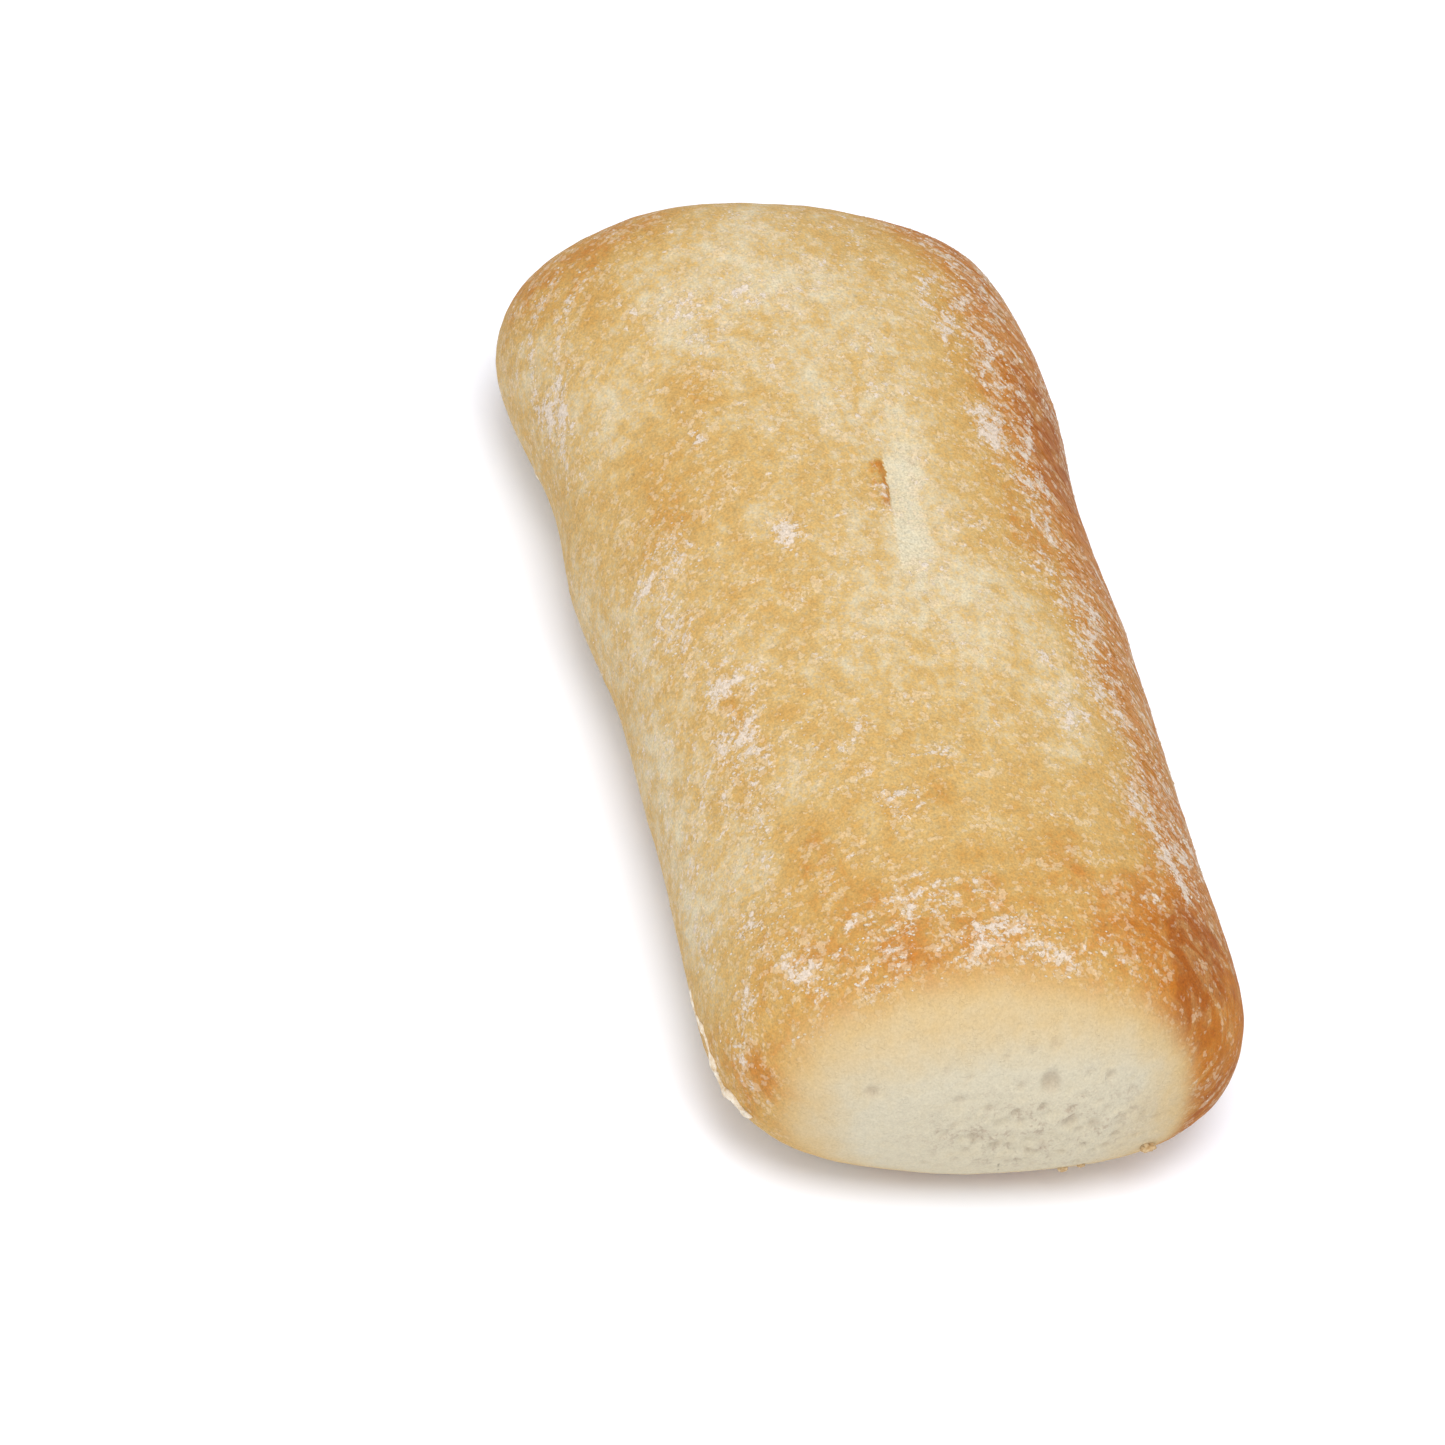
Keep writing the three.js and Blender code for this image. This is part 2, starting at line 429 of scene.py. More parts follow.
    def girdle(self, points: Array) -> Array:
        """How far each point lies round the roll from the crown.

        Args:
            points: points of the form.

        Returns:
            Millimetres, + towards +Y: the angle about the roll's middle, turned into a length along the
            middle section.
        """
        turn = np.linspace(-np.pi, np.pi, 721)
        ring = np.stack([np.zeros_like(turn), np.sin(turn), np.cos(turn)], axis=1)
        section = self.smooth(ring / np.abs(ring).max(axis=1, keepdims=True))
        angle = np.arctan2(section[:, 1] - self.bow, section[:, 2] - self.girth_height)
        length = np.concatenate([[0.0], np.cumsum(np.linalg.norm(np.diff(section, axis=0), axis=1))])
        length -= np.interp(0.0, angle, length)
        along = points[:, 0] / (self.length / 2)
        middle = self.bow * (1 - along**2) + self.skew * along
        own = np.arctan2(points[:, 1] - middle, points[:, 2] - self.girth_height)
        return np.interp(own, angle, length)


@dataclass(frozen=True)
class Patch:
    """A soft-edged spot on the crust: its place along and round the roll, its half sizes and its strength."""

    along: float
    around: float
    half_along: float
    half_around: float
    amount: float

    def at(self, along: Array, around: Array) -> Array:
        """The patch's strength at places on the crust, a bell in both directions."""
        gap = np.hypot((along - self.along) / self.half_along, (around - self.around) / self.half_around)
        return self.amount * bell(gap, 1.0)


@dataclass(frozen=True)
class Scuff:
    """A bowed line of flour on the crust: its ends along and round the roll, bow, half width and strength."""

    start: Pair
    end: Pair
    bow: float
    half_width: float
    amount: float

    def at(self, along: Array, around: Array) -> Array:
        """The line's strength at places on the crust: a bell across it, faded at its ends.

        The line is the straight one between its ends, moved sideways by bow * (1 - (2t - 1)^2) at share t.

        Args:
            along: how far along the roll each place is.
            around: how far round it.

        Returns:
            The strengths.
        """
        start = np.array(self.start)
        run = np.array(self.end) - start
        length = np.linalg.norm(run)
        ahead, side = run / length, np.array([-run[1], run[0]]) / length
        gap = np.stack([along, around], axis=-1) - start
        share = gap @ ahead / length
        off = gap @ side - self.bow * (1.0 - (2.0 * share - 1.0) ** 2)
        ends = smooth_step(-0.05, 0.12, share) * smooth_step(1.05, 0.85, share)
        return self.amount * bell(off, self.half_width) * ends


@dataclass(frozen=True)
class Spot:
    """An opened bubble in an end or a crumb on it: its place across and up the end, and its width."""

    y: float
    z: float
    size: float


@dataclass(frozen=True)
class Scatter:
    """A scatter of pores in one end: its side, how many, the ranges of places and sizes, and the seed."""

    side: int
    count: int
    y: Pair
    z: Pair
    size: Pair
    seed: int

    def pores(self) -> list[Spot]:
        """The pores, each placed and sized by three numbers drawn in turn."""
        draw = draws(self.seed)
        spans = (self.y, self.z, self.size)
        return [Spot(*(low + (high - low) * next(draw) for low, high in spans)) for _ in range(self.count)]


@dataclass(frozen=True)
class Oval:
    """An oval of crumb in an end: its middle across and up the end, half width and half height."""

    y: float
    z: float
    half_width: float
    half_height: float

    def away(self, y: Array, z: Array) -> Array:
        """How far places are from the oval's middle, 1 on its rim."""
        return np.hypot((y - self.y) / self.half_width, (z - self.z) / self.half_height)


# Finishes


def linear(hex_colour: str) -> tuple[float, float, float, float]:
    """A hex sRGB colour as linear light."""
    parts = np.array([int(hex_colour[k : k + 2], 16) for k in (1, 3, 5)]) / 255.0
    light = np.where(parts <= 0.04045, parts / 12.92, ((parts + 0.055) / 1.055) ** 2.4)
    return (*light.tolist(), 1.0)


class Recipe:
    """A new material's node tree, with the sums that the finishes repeat."""

    def __init__(self, name: str) -> None:
        """Makes the material and empties its tree."""
        self.material = bpy.data.materials.new(name)
        self.material.use_nodes = True
        self.tree = self.material.node_tree
        self.tree.nodes.clear()

    def add(
        self, kind: str, inputs: dict[str | int, Value] | None = None, **settings: object
    ) -> bpy.types.Node:
        """Adds one node with its settings, values and links.

        Args:
            kind: the node's type, less its leading ShaderNode.
            inputs: by socket name or number, a value or the output socket to link from.
            settings: the node's own properties; stops is a ramp's list of (place, hex colour).

        Returns:
            The node.
        """
        made = self.tree.nodes.new("ShaderNode" + kind)
        stops = settings.pop("stops", None)
        for name, value in settings.items():
            setattr(made, name, value)
        for socket, value in (inputs or {}).items():
            if isinstance(value, Socket):
                self.tree.links.new(value, made.inputs[socket])
            else:
                made.inputs[socket].default_value = value
        if stops:
            ramp = made.color_ramp.elements
            while len(ramp) < len(stops):
                ramp.new(1.0)
            for element, (place, colour) in zip(ramp, stops):
                element.position = place
                element.color = linear(colour)
        return made

    def millimetres(self) -> Socket:
        """Places on the piece, in millimetres."""
        place = self.add("TexCoord").outputs["Object"]
        return self.add("Mapping", {"Vector": place, "Scale": (1 / MM,) * 3}).outputs[0]

    def sized(self, place: Socket, length: float, width: float) -> Socket:
        """Places in units of a mark's length and width."""
        scale = (1 / length, 1 / width, 1 / width)
        return self.add("Mapping", {"Vector": place, "Scale": scale}).outputs[0]

    def summed(self, first: Value, *terms: tuple[Value, Value]) -> Value:
        """Adds terms, each a value and its share, to a first value."""
        for term, share in terms:
            first = self.add("Math", {0: term, 1: share, 2: first}, operation="MULTIPLY_ADD").outputs[0]
        return first

    def product(self, first: Value, *factors: Value) -> Value:
        """The product of several values."""
        for factor in factors:
            first = self.add("Math", {0: first, 1: factor}, operation="MULTIPLY").outputs[0]
        return first

    def step(self, value: Socket, low: float, high: float, top: float = 1.0) -> Socket:
        """A smooth step.

        Args:
            value: the number to map.
            low: where the result is 0. It may lie above high, for a falling step.
            high: where the result is top.
            top: the largest result.

        Returns:
            The result.
        """
        if low > high:
            inputs = {"Value": value, "From Min": high, "From Max": low, "To Min": top, "To Max": 0.0}
        else:
            inputs = {"Value": value, "From Min": low, "From Max": high, "To Max": top}
        return self.add("MapRange", inputs, interpolation_type="SMOOTHSTEP").outputs[0]

    def layered(self, under: Value, *layers: tuple[Value, Value]) -> Value:
        """Lays colours over a first one in turn, each a share and a colour."""
        for share, over in layers:
            under = self.add("Mix", {"Factor": share, 6: under, 7: over}, data_type="RGBA").outputs[2]
        return under

    def finished(self, look: dict[str, Value]) -> bpy.types.Material:
        """Ends the tree with a shader of this look and gives the material."""
        shader = self.add("BsdfPrincipled", look)
        self.add("OutputMaterial", {"Surface": shader.outputs[0]})
        return self.material


@dataclass(frozen=True)
class Pattern:
    """A noise: its size in millimetres, its detail, roughness and bend.

    A size of two is a length and a width along the way the dough was rolled.
    """

    size: float | Pair
    detail: float
    roughness: float
    bend: float


@dataclass(frozen=True)
class FlouredCrust:
    """Thin wheat crust, baked pale in a deck oven and dusted with white flour before baking.

    The crust is matt and goes from ivory through gold to red-brown where it caught more heat. The flour has
    cracked into flakes that follow the way the dough was rolled, over a thin veil. The crumb of the ends is
    off-white.
    """

    baking: Stops = (
        (0.0, "#D2C4A2"), (0.22, "#C5A366"), (0.42, "#BF934E"), (0.62, "#B97D37"), (0.82, "#B36C1E"),
        (1.0, "#9C5413"),
    )
    yellow: str = "#CCAC6D"
    crumb: Stops = ((0.0, "#C29A5C"), (0.4, "#C4A979"), (0.8, "#C4B595"), (1.0, "#C5BBA1"))
    stretched: str = "#CFC8AE"
    thin_flour: str = "#D1BDA1"
    flour: str = "#CABCAC"
    # The colour of the painted shade in pores, pinholes and the open crumb's holes.
    pore: str = "#A08D79"
    # Where the tear is coloured: its start, direction in degrees and length, the reach of the stretched
    # skin along and across it, and the heights over which both appear.
    tear_start: Pair = (-19.6, 2.6)
    tear_turn: float = -5.0
    tear_length: float = 9.5
    stretch_length: float = 20.0
    stretch_width: float = 4.2
    tear_heights: Pair = (28.0, 30.0)
    # Real flour and baked skin are grained at about 0.1 mm. Grain, grit and flecks are drawn coarser, so
    # that they show in a picture of the whole roll, and so are the narrowest grooves.
    broad: Pattern = Pattern(11.0, 2.0, 0.5, 0.4)
    mottle: Pattern = Pattern(2.6, 3.0, 0.6, 0.3)
    grain: Pattern = Pattern(0.6, 2.0, 0.6, 0.0)
    grit: Pattern = Pattern(0.3, 1.0, 0.5, 0.0)
    fleck: Pattern = Pattern(0.55, 2.0, 0.6, 0.5)
    clot: Pattern = Pattern((5.5, 2.8), 3.0, 0.6, 0.8)
    groove: Pattern = Pattern((2.4, 0.62), 2.0, 0.6, 0.6)
    # Lengths and widths of the flour's marks, in millimetres, and the size and reach of the folds that make
    # their edges ragged.
    freckle_size: Pair = (0.76, 0.76)
    flake_size: Pair = (0.72, 0.72)
    large_flake: Pair = (2.3, 1.0)
    fold_size: float = 0.625
    fold_reach: float = 0.9
    # How strongly the noises brown the crust and paint shade into its hollows, and how far they
    # and flour lift, in mm.
    browns: tuple[tuple[str, float], ...] = (("broad", 0.34), ("mottle", 0.55), ("grain", 0.35))
    painted_hollow_shade: tuple[tuple[str, float], ...] = (("grain", 0.9), ("fleck", 0.6))
    lifts: tuple[tuple[str, float], ...] = (("grit", 0.03), ("grain", 0.09), ("mottle", 0.16))
    flour_lift: float = 0.12
    # Roughness of the bare and of the floured crust, and how much both shine.
    bare_rough: float = 0.7
    floured_rough: float = 0.92
    shine: float = 0.12

    def noises(self, recipe: Recipe, mm: Socket, streak: Socket) -> dict[str, Socket]:
        """Adds the noises, each less its mean of 0.5.

        Args:
            recipe: the material's tree.
            mm: places in millimetres.
            streak: places along the way the dough was rolled.

        Returns:
            The noises by name.
        """
        made = {}
        for name in ("broad", "mottle", "grain", "grit", "fleck", "clot", "groove"):
            pattern = getattr(self, name)
            inputs = {"Detail": pattern.detail, "Roughness": pattern.roughness, "Distortion": pattern.bend}
            if isinstance(pattern.size, tuple):
                inputs |= {"Vector": recipe.sized(streak, *pattern.size), "Scale": 1.0}
            else:
                inputs |= {"Vector": mm, "Scale": 1 / pattern.size}
            made[name] = recipe.summed(-0.5, (recipe.add("TexNoise", inputs).outputs["Fac"], 1.0))
        return made

    def torn(self, recipe: Recipe, mm: Socket, noise: dict[str, Socket]) -> tuple[Socket, Socket]:
        """The tear's scorched edge and the pale stretched skin beside it.

        Both are bands along the tear's line, sharp where they meet on it and soft on their other side, and
        ragged by the noises.

        Args:
            recipe: the material's tree.
            mm: places in millimetres.
            noise: the noises by name.

        Returns:
            The scorched and the stretched share, each from 0 to 1.
        """
        turn = (0.0, 0.0, np.radians(self.tear_turn))
        line = {"Vector": mm, "Location": (*self.tear_start, 0.0), "Rotation": turn}
        local = recipe.add("Mapping", line, vector_type="TEXTURE").outputs[0]
        along, across, up = recipe.add("SeparateXYZ", {0: local}).outputs
        above = recipe.step(up, *self.tear_heights)
        ragged = recipe.summed(across, (noise["mottle"], 1.2), (noise["grain"], 1.6))
        worn = recipe.summed(across, (noise["mottle"], 3.0), (noise["fleck"], 3.0))
        length, reach, width = self.tear_length, self.stretch_length, self.stretch_width
        scorched = recipe.product(
            recipe.step(worn, -3.0, -0.4),
            recipe.step(ragged, 0.35, -0.05),
            recipe.step(along, -0.5, 1.0),
            recipe.step(along, length + 0.6, length - 1.2),
            above,
        )
        pale = recipe.product(
            recipe.step(ragged, -0.1, 0.5),
            recipe.step(worn, width + 1.5, width - 1.5),
            recipe.step(along, -3.0, 1.0),
            recipe.step(along, reach + 4.0, reach - 6.0),
            above,
        )
        return scorched, pale

    def flakes(
        self, recipe: Recipe, place: Socket, warp: Socket, level: Socket, fleck: Socket, soft: float
    ) -> Socket:
        """Flakes of flour, as random cells that are covered or bare, from 0 to 1.

        Args:
            recipe: the material's tree.
            place: coordinates in which a flake is about 1 across.
            warp: a colour noise that makes the flakes ragged.
            level: the share of the surface that they cover.
            fleck: fine noise for their edges.
            soft: how soft their edges are.

        Returns:
            The cover: a cell is covered where its random number is below the level, less towards its rim.
        """
        folded = {0: warp, 1: (self.fold_reach,) * 3, 2: place}
        bent = recipe.add("VectorMath", folded, operation="MULTIPLY_ADD").outputs[0]
        cells = recipe.add("TexVoronoi", {"Vector": bent, "Scale": 1.0}).outputs
        number = recipe.add("SeparateColor", {0: cells["Color"]}).outputs[0]
        cover = recipe.summed(level, (number, -0.85), (cells["Distance"], -0.35), (fleck, 0.7))
        return recipe.step(cover, 0.0, soft)

    def dusting(
        self, recipe: Recipe, read: dict[str, Socket], mm: Socket, noise: dict[str, Socket], ditch: Socket
    ) -> Socket:
        """How much flour hides the crust.

        Thin freckles lie everywhere and two sizes of flakes on the drifts. Where the crust is grooved the
        flour is nearly whole, but for the ditches.

        Args:
            recipe: the material's tree.
            read: the crust's attributes by name.
            mm: places in millimetres.
            noise: the noises by name.
            ditch: how far each place lies in a groove along the way the dough was rolled. The flour is
                thinner there, and the finish paints the groove darker there as shade.

        Returns:
            The cover, from 0 to 0.9.
        """
        folds = {"Vector": mm, "Scale": 1 / self.fold_size, "Detail": 0.0}
        warp = recipe.add("TexNoise", folds).outputs["Color"]
        flour, clot = read["flour"], noise["clot"]
        drift = recipe.summed(flour, (clot, recipe.summed(0.6, (flour, 1.9))))
        everywhere = recipe.summed(0.36, (flour, 0.95), (clot, 1.5))
        thick = recipe.summed(-0.06, (drift, 1.5))
        cover = recipe.step(drift, 0.1, 0.9, 0.2)
        for place, size, level, share, soft in (
            (mm, self.freckle_size, everywhere, 0.45, 0.28),
            (mm, self.flake_size, thick, 0.5, 0.22),
            (read["streak"], self.large_flake, drift, 0.55, 0.35),
        ):
            kind = self.flakes(recipe, recipe.sized(place, *size), warp, level, noise["fleck"], soft)
            cover = recipe.summed(cover, (kind, share))
        return recipe.step(recipe.summed(cover, (read["grooved"], 0.24), (ditch, -0.7)), -0.1, 1.2, 0.9)

    def make(self) -> bpy.types.Material:
        """Makes the material.

        Returns:
            A material that reads the crust's own attributes: browning, flour, grooved, crumb, opened, pit
            and streak.
        """
        recipe = Recipe("floured_wheat_crust")
        read = {
            name: recipe.add("Attribute", attribute_name=name).outputs["Fac"]
            for name in ("browning", "flour", "grooved", "crumb", "opened", "pit")
        }
        read["streak"] = recipe.add("Attribute", attribute_name="streak").outputs["Vector"]
        mm = recipe.millimetres()
        noise = self.noises(recipe, mm, read["streak"])
        # The ditches: grooves where the flour is thinner and where the colour gets painted shade.
        ditch = recipe.product(read["grooved"], recipe.step(noise["groove"], 0.0, 0.14))
        scorched, pale = self.torn(recipe, mm, noise)
        dusted = self.dusting(recipe, read, mm, noise, ditch)

        # The crust by its baking, then yellow clouds, the stretched skin, the flour, the crumb, and the
        # painted shade of pores and holes.
        browns = [(noise[name], share) for name, share in self.browns]
        bake = recipe.summed(read["browning"], (read["flour"], 0.08), *browns, (scorched, 0.5), (pale, -0.12))
        crust = recipe.add("ValToRGB", {"Fac": bake}, stops=self.baking).outputs["Color"]
        golden = recipe.step(noise["clot"], -0.1, 0.3, 0.45)
        stretch = recipe.product(pale, recipe.summed(0.46, (noise["groove"], 0.9), (noise["mottle"], 1.7)))
        thick = recipe.step(dusted, 0.35, 0.85)
        powder = recipe.layered(linear(self.thin_flour), (thick, linear(self.flour)))
        tone = recipe.summed(read["crumb"], (noise["mottle"], 0.35))
        inside = recipe.add("ValToRGB", {"Fac": tone}, stops=self.crumb).outputs["Color"]
        bare = recipe.step(read["crumb"], 0.0, 0.5)
        # Painted shade: dark spots in the open crumb, with the pit attribute, stand for the shade in its
        # holes and pores.
        hole_shade_spots = recipe.step(recipe.summed(noise["mottle"], (noise["fleck"], 0.9)), 0.02, 0.26)
        hole = recipe.summed(read["pit"], (recipe.product(read["opened"], hole_shade_spots), 0.6))
        colour = recipe.layered(
            crust,
            (golden, linear(self.yellow)),
            (stretch, linear(self.stretched)),
            (dusted, powder),
            (bare, inside),
            (hole, linear(self.pore)),
        )

        # Painted light and shade: the colour is painted darker in the small hollows of the fine roughness
        # and lighter on its rises, less so in the crumb, darker in the gaps between the flakes and lighter
        # on the flakes, and darker in the ditches.
        grit = recipe.summed(noise["grit"], *((noise[name], share) for name, share in self.painted_hollow_shade))
        depth = recipe.summed(0.5, (bare, -0.3))
        painted_flake_shade = recipe.product(recipe.summed(-0.07, (dusted, 0.14)), recipe.summed(1.0, (bare, -1.0)))
        light = recipe.summed(1.0, (painted_flake_shade, 1.0), (ditch, -0.16), (grit, depth))
        lit = recipe.add("VectorMath", {0: colour, "Scale": light}, operation="SCALE").outputs[0]

        lifts = [(noise[name], lift) for name, lift in self.lifts]
        height = recipe.summed(0.0, (dusted, self.flour_lift), *lifts)
        bump = recipe.add("Bump", {"Height": height, "Distance": MM, "Strength": 1.0}).outputs[0]
        spread = {"Value": dusted, "To Min": self.bare_rough, "To Max": self.floured_rough}
        look = {"Base Color": lit, "Roughness": recipe.add("MapRange", spread).outputs[0], "Normal": bump}
        return recipe.finished({**look, "IOR": 1.45, "Specular IOR Level": self.shine})


@dataclass(frozen=True)
class MealyFinish:
    """A matt finish of two close tones, blended by a noise: what dried dough and dry flour have in common.

    The stops are where the noise gives the darker and the paler tone. The bump's height is in mm. With
    a bump, the same noise sinks the darker tone into the hollows, where it is painted shade.
    """

    name: str
    pale: str
    dark: str
    stops: Pair
    grain_size: float
    detail: float
    roughness: float
    shine: float
    bump_height: float = 0.0

    def make(self) -> bpy.types.Material:
        """Makes the material."""
        recipe = Recipe(self.name)
        noise = {"Vector": recipe.millimetres(), "Scale": 1 / self.grain_size, "Detail": self.detail}
        grain = recipe.add("TexNoise", noise).outputs["Fac"]
        tones = tuple(zip(self.stops, (self.dark, self.pale)))
        colour = recipe.add("ValToRGB", {"Fac": grain}, stops=tones).outputs["Color"]
        look = {"Base Color": colour, "Roughness": self.roughness, "IOR": 1.45}
        look["Specular IOR Level"] = self.shine
        # The bump rises where the noise is high, so the darker tone lies in its hollows: painted shade.
        if self.bump_height:
            bump = {"Height": grain, "Distance": self.bump_height * MM}
            look["Normal"] = recipe.add("Bump", bump).outputs[0]
        return recipe.finished(look)


@dataclass(frozen=True)
class DriedDough(MealyFinish):
    """A shred of dough that dried white in its flour: matt, off-white, with a little painted shade in its
    hollows.
    """

    name: str = "dried_dough"
    pale: str = "#E6DBC6"
    dark: str = "#C9AE85"
    stops: Pair = (0.3, 0.6)
    grain_size: float = 0.8
    detail: float = 3.0
    roughness: float = 0.85
    shine: float = 0.25
    bump_height: float = 0.1


@dataclass(frozen=True)
class DryFlour(MealyFinish):
    """White wheat flour in small dry clumps: dead matt and slightly warm.

    Its tones change over 1.5 mm, coarser than its real grain, so that whole clumps differ from one another.
    """

    name: str = "dry_flour"
    pale: str = "#D3C6B5"
    dark: str = "#C6B18D"
    stops: Pair = (0.35, 0.65)
    grain_size: float = 1.5
    detail: float = 2.0
    roughness: float = 0.95
    shine: float = 0.15


# The roll's pieces


@dataclass
class Crust:
    """The crust and the two crumb ends: one closed skin over the solid's form, with its fine relief."""

    form: RollForm
    finish: FlouredCrust = field(default_factory=FlouredCrust)
    divisions: tuple[int, int, int] = (140, 144, 80)
    # Where the skin is divided more finely along the roll: middle, half length and how many times finer.
    finer: tuple[Triple, ...] = ((-13.0, 9.0, 0.9), (70.0, 10.0, 0.9), (-72.0, 8.0, 0.4))
    # The angle round the roll about a line at end_middle, in degrees from the crown, how far along it the
    # crust begins to pale towards the front end, and where it has become crumb.
    front_edge: tuple[Triple, ...] = (
        (-180, 74, 78), (-120, 74, 77), (-95, 73, 77), (-82, 72.5, 77), (-76, 70.5, 75.5), (-65, 67, 74),
        (-57, 67, 72.6), (-43, 67.3, 72.2), (-23, 66.2, 72.4), (-5, 66, 73), (12, 67, 73.5),
        (28, 68.3, 74.1), (44, 70.1, 75), (65, 74, 78), (76, 76, 79), (95, 77, 79.5), (120, 76, 79),
        (180, 74, 78),
    )
    end_middle: float = 2.5
    # How far along the rear end the crust begins to pale, and where it has become crumb.
    rear_edge: Pair = (73.0, 78.8)
    # The palest crumb of both ends, and the torn, open crumb of each, which begins this far along.
    palest: Oval = Oval(5.0, 16.0, 26.0, 13.0)
    open_front: Oval = Oval(8.0, 16.0, 17.0, 8.0)
    open_rear: Oval = Oval(-3.0, 15.0, 20.0, 9.0)
    open_from: float = 66.0
    # The small and the large pits of the open crumb, as cell, share and seed, and their depths.
    small_pits: tuple[float, float, int] = (1.7, 0.5, 71)
    large_pits: tuple[float, float, int] = (2.9, 0.35, 81)
    pit_depths: Pair = (0.35, 0.5)
    # The heights up to which the -Y and the +Y flank are smooth, and how far that edge wavers and fades.
    flank_heights: Pair = (7.5, 14.0)
    flank_waver: float = 2.8
    flank_fade: float = 2.6
    # How brown the crust is: everywhere, and what the +Y flank and the front and rear shoulders add.
    golden: float = 0.23
    flank_brown: float = 0.48
    front_brown: float = 0.22
    rear_brown: float = 0.02
    browning: tuple[Patch, ...] = rows_of(
        Patch,
        (-67, -39, 7, 9, 0.34), (-58, -29, 12, 4, 0.14), (-76, -28, 5, 16, 0.2), (-76, 18, 5, 14, 0.16),
        (-46, -21, 5, 4, -0.1), (-25, -4, 32, 4, -0.06), (14, -41, 22, 6, -0.07), (-69, -22, 6, 7, 0.3),
        (-36, -20, 4, 4, 0.22), (-19, -30, 10, 5, 0.18), (0, -17, 12, 7, 0.05), (35, -26, 10, 9, -0.07),
        (23, -11, 9, 7, 0.02), (9, -12, 15, 6, -0.07), (19, -27.8, 4, 3, 0.18), (32, -30, 3.5, 3, 0.1),
        (-54, -15, 14, 9, -0.14), (-68, -4, 7, 12, -0.1), (-36, -32, 7, 5, -0.1), (20, 21, 22, 6, -0.14),
        (-25, 38, 20, 6, 0.04), (-27, 35, 22, 7, 0.12), (-55, -5, 8, 5, -0.05), (62, 26, 5, 4, 0.16),
        (-4, 20, 6, 4, 0.1), (39.5, -5, 4, 2.5, 0.18), (51, 10, 8, 6, 0.16), (60, 17, 9, 6, 0.15),
        (47, -23, 7, 5, 0.26), (42, -42, 14, 5, -0.08), (69.5, -44, 3.5, 4.5, 0.22), (42, -33, 6, 4, -0.14),
        (65.5, -15, 3.5, 4, 0.26), (67, -40, 5, 7, 0.03), (66, 27, 5, 4, 0.1), (-31, 30, 15, 7, 0.16),
        (65, 29, 9, 6, 0.16), (69, 38, 7, 9, -0.12), (-54, 29, 22, 7, 0.06), (-68, 22, 6, 9, 0.1),
        (-11, 20, 9, 4, 0.12), (-35, 3, 2.5, 2, 0.1), (-53, 0, 6, 13, -0.12), (-33, 5, 16, 8, -0.14),
        (5, 6, 9, 9, -0.18), (7, -7, 13, 5, -0.08), (28, 23, 9, 8, -0.08), (58, -41, 10, 6, -0.1),
        (20, 8, 9, 8, -0.06), (-15, 6.3, 9, 3, -0.14), (-2, 1.5, 7, 3, -0.14),
    )
    # The lower flanks' even brown: on the -Y side and what the +Y side adds, how far it replaces the
    # crust's own, and the strength of a brown line along the bottom edge, below about 1.2 mm.
    even_brown: Pair = (0.08, 0.1)
    even_share: float = 0.9
    base_brown: float = 0.4
    # How thickly the crust is floured: everywhere, in broad drifts, and what the +Y flank and the front add.
    dusted: float = 0.15
    drift: float = 0.08
    flank_flour: float = 0.13
    front_flour: float = -0.04
    flour: tuple[Patch, ...] = rows_of(
        Patch,
        (-44, -43, 8, 5, 0.2), (-53, -8, 3, 14, 0.16), (-46, -17, 5, 1.8, 0.2), (-28, -22, 2.2, 1.6, 0.35),
        (-10.6, -30, 4, 3, 0.2), (-6, -34, 2.5, 2.5, 0.2), (3, -32.7, 4, 4, 0.2), (-8, -14, 2, 2, 0.55),
        (10, -38, 24, 9, 0.08), (13.5, -29.3, 2.5, 2.5, 0.3), (23.6, -28.5, 4, 3, 0.24),
        (27, -35, 4, 4, 0.1), (64, 28, 5, 4, -0.12), (36, -29, 13, 2.5, 0.2), (41, -11, 2.5, 2.5, 0.35),
        (33, -3, 1.5, 3, 0.25), (27, -12, 1.2, 1.4, 0.4), (57, -10, 4, 5, 0.2), (64, -7, 4, 8, 0.18),
        (63, 2, 5, 5, 0.14), (68, -22, 4, 6, 0.2), (54, -33.5, 4, 3, 0.22), (45, -25, 7, 5, -0.14),
        (65.5, -14.5, 3, 3.5, -0.14), (63.5, -30, 3.5, 3.5, 0.26), (62, -38.5, 3, 2.5, 0.32),
        (66.5, -42.5, 2.5, 2.5, 0.18), (70.5, -32, 2, 2.5, 0.26), (47, -43.5, 5, 3, 0.14),
        (68, 4, 2.5, 7, 0.16), (66, 14, 5, 6, 0.12), (-13, 0.3, 3, 1.2, 0.14), (13.5, 4, 1.5, 2.2, 0.35),
        (-27, 20.5, 4, 2.2, 0.45), (-20, 27, 1.8, 2, 0.35), (-44, 21, 6, 4, 0.12),
        (-24, 33.5, 16, 5, -0.28), (60, 25, 5, 4, -0.12), (20, 25, 6, 3, 0.1), (33, -17, 5, 4, 0.1),
        (61, -20, 4, 5, 0.12), (-17, 23, 4, 3, 0.15), (10, 25, 11, 4, 0.12), (25, 17, 4, 2.2, 0.35),
        (16, 16, 2, 1.5, 0.3), (47, 28, 14, 4, 0.08), (68, 34, 9, 10, -0.18), (58, 21, 3, 3, 0.2),
    )
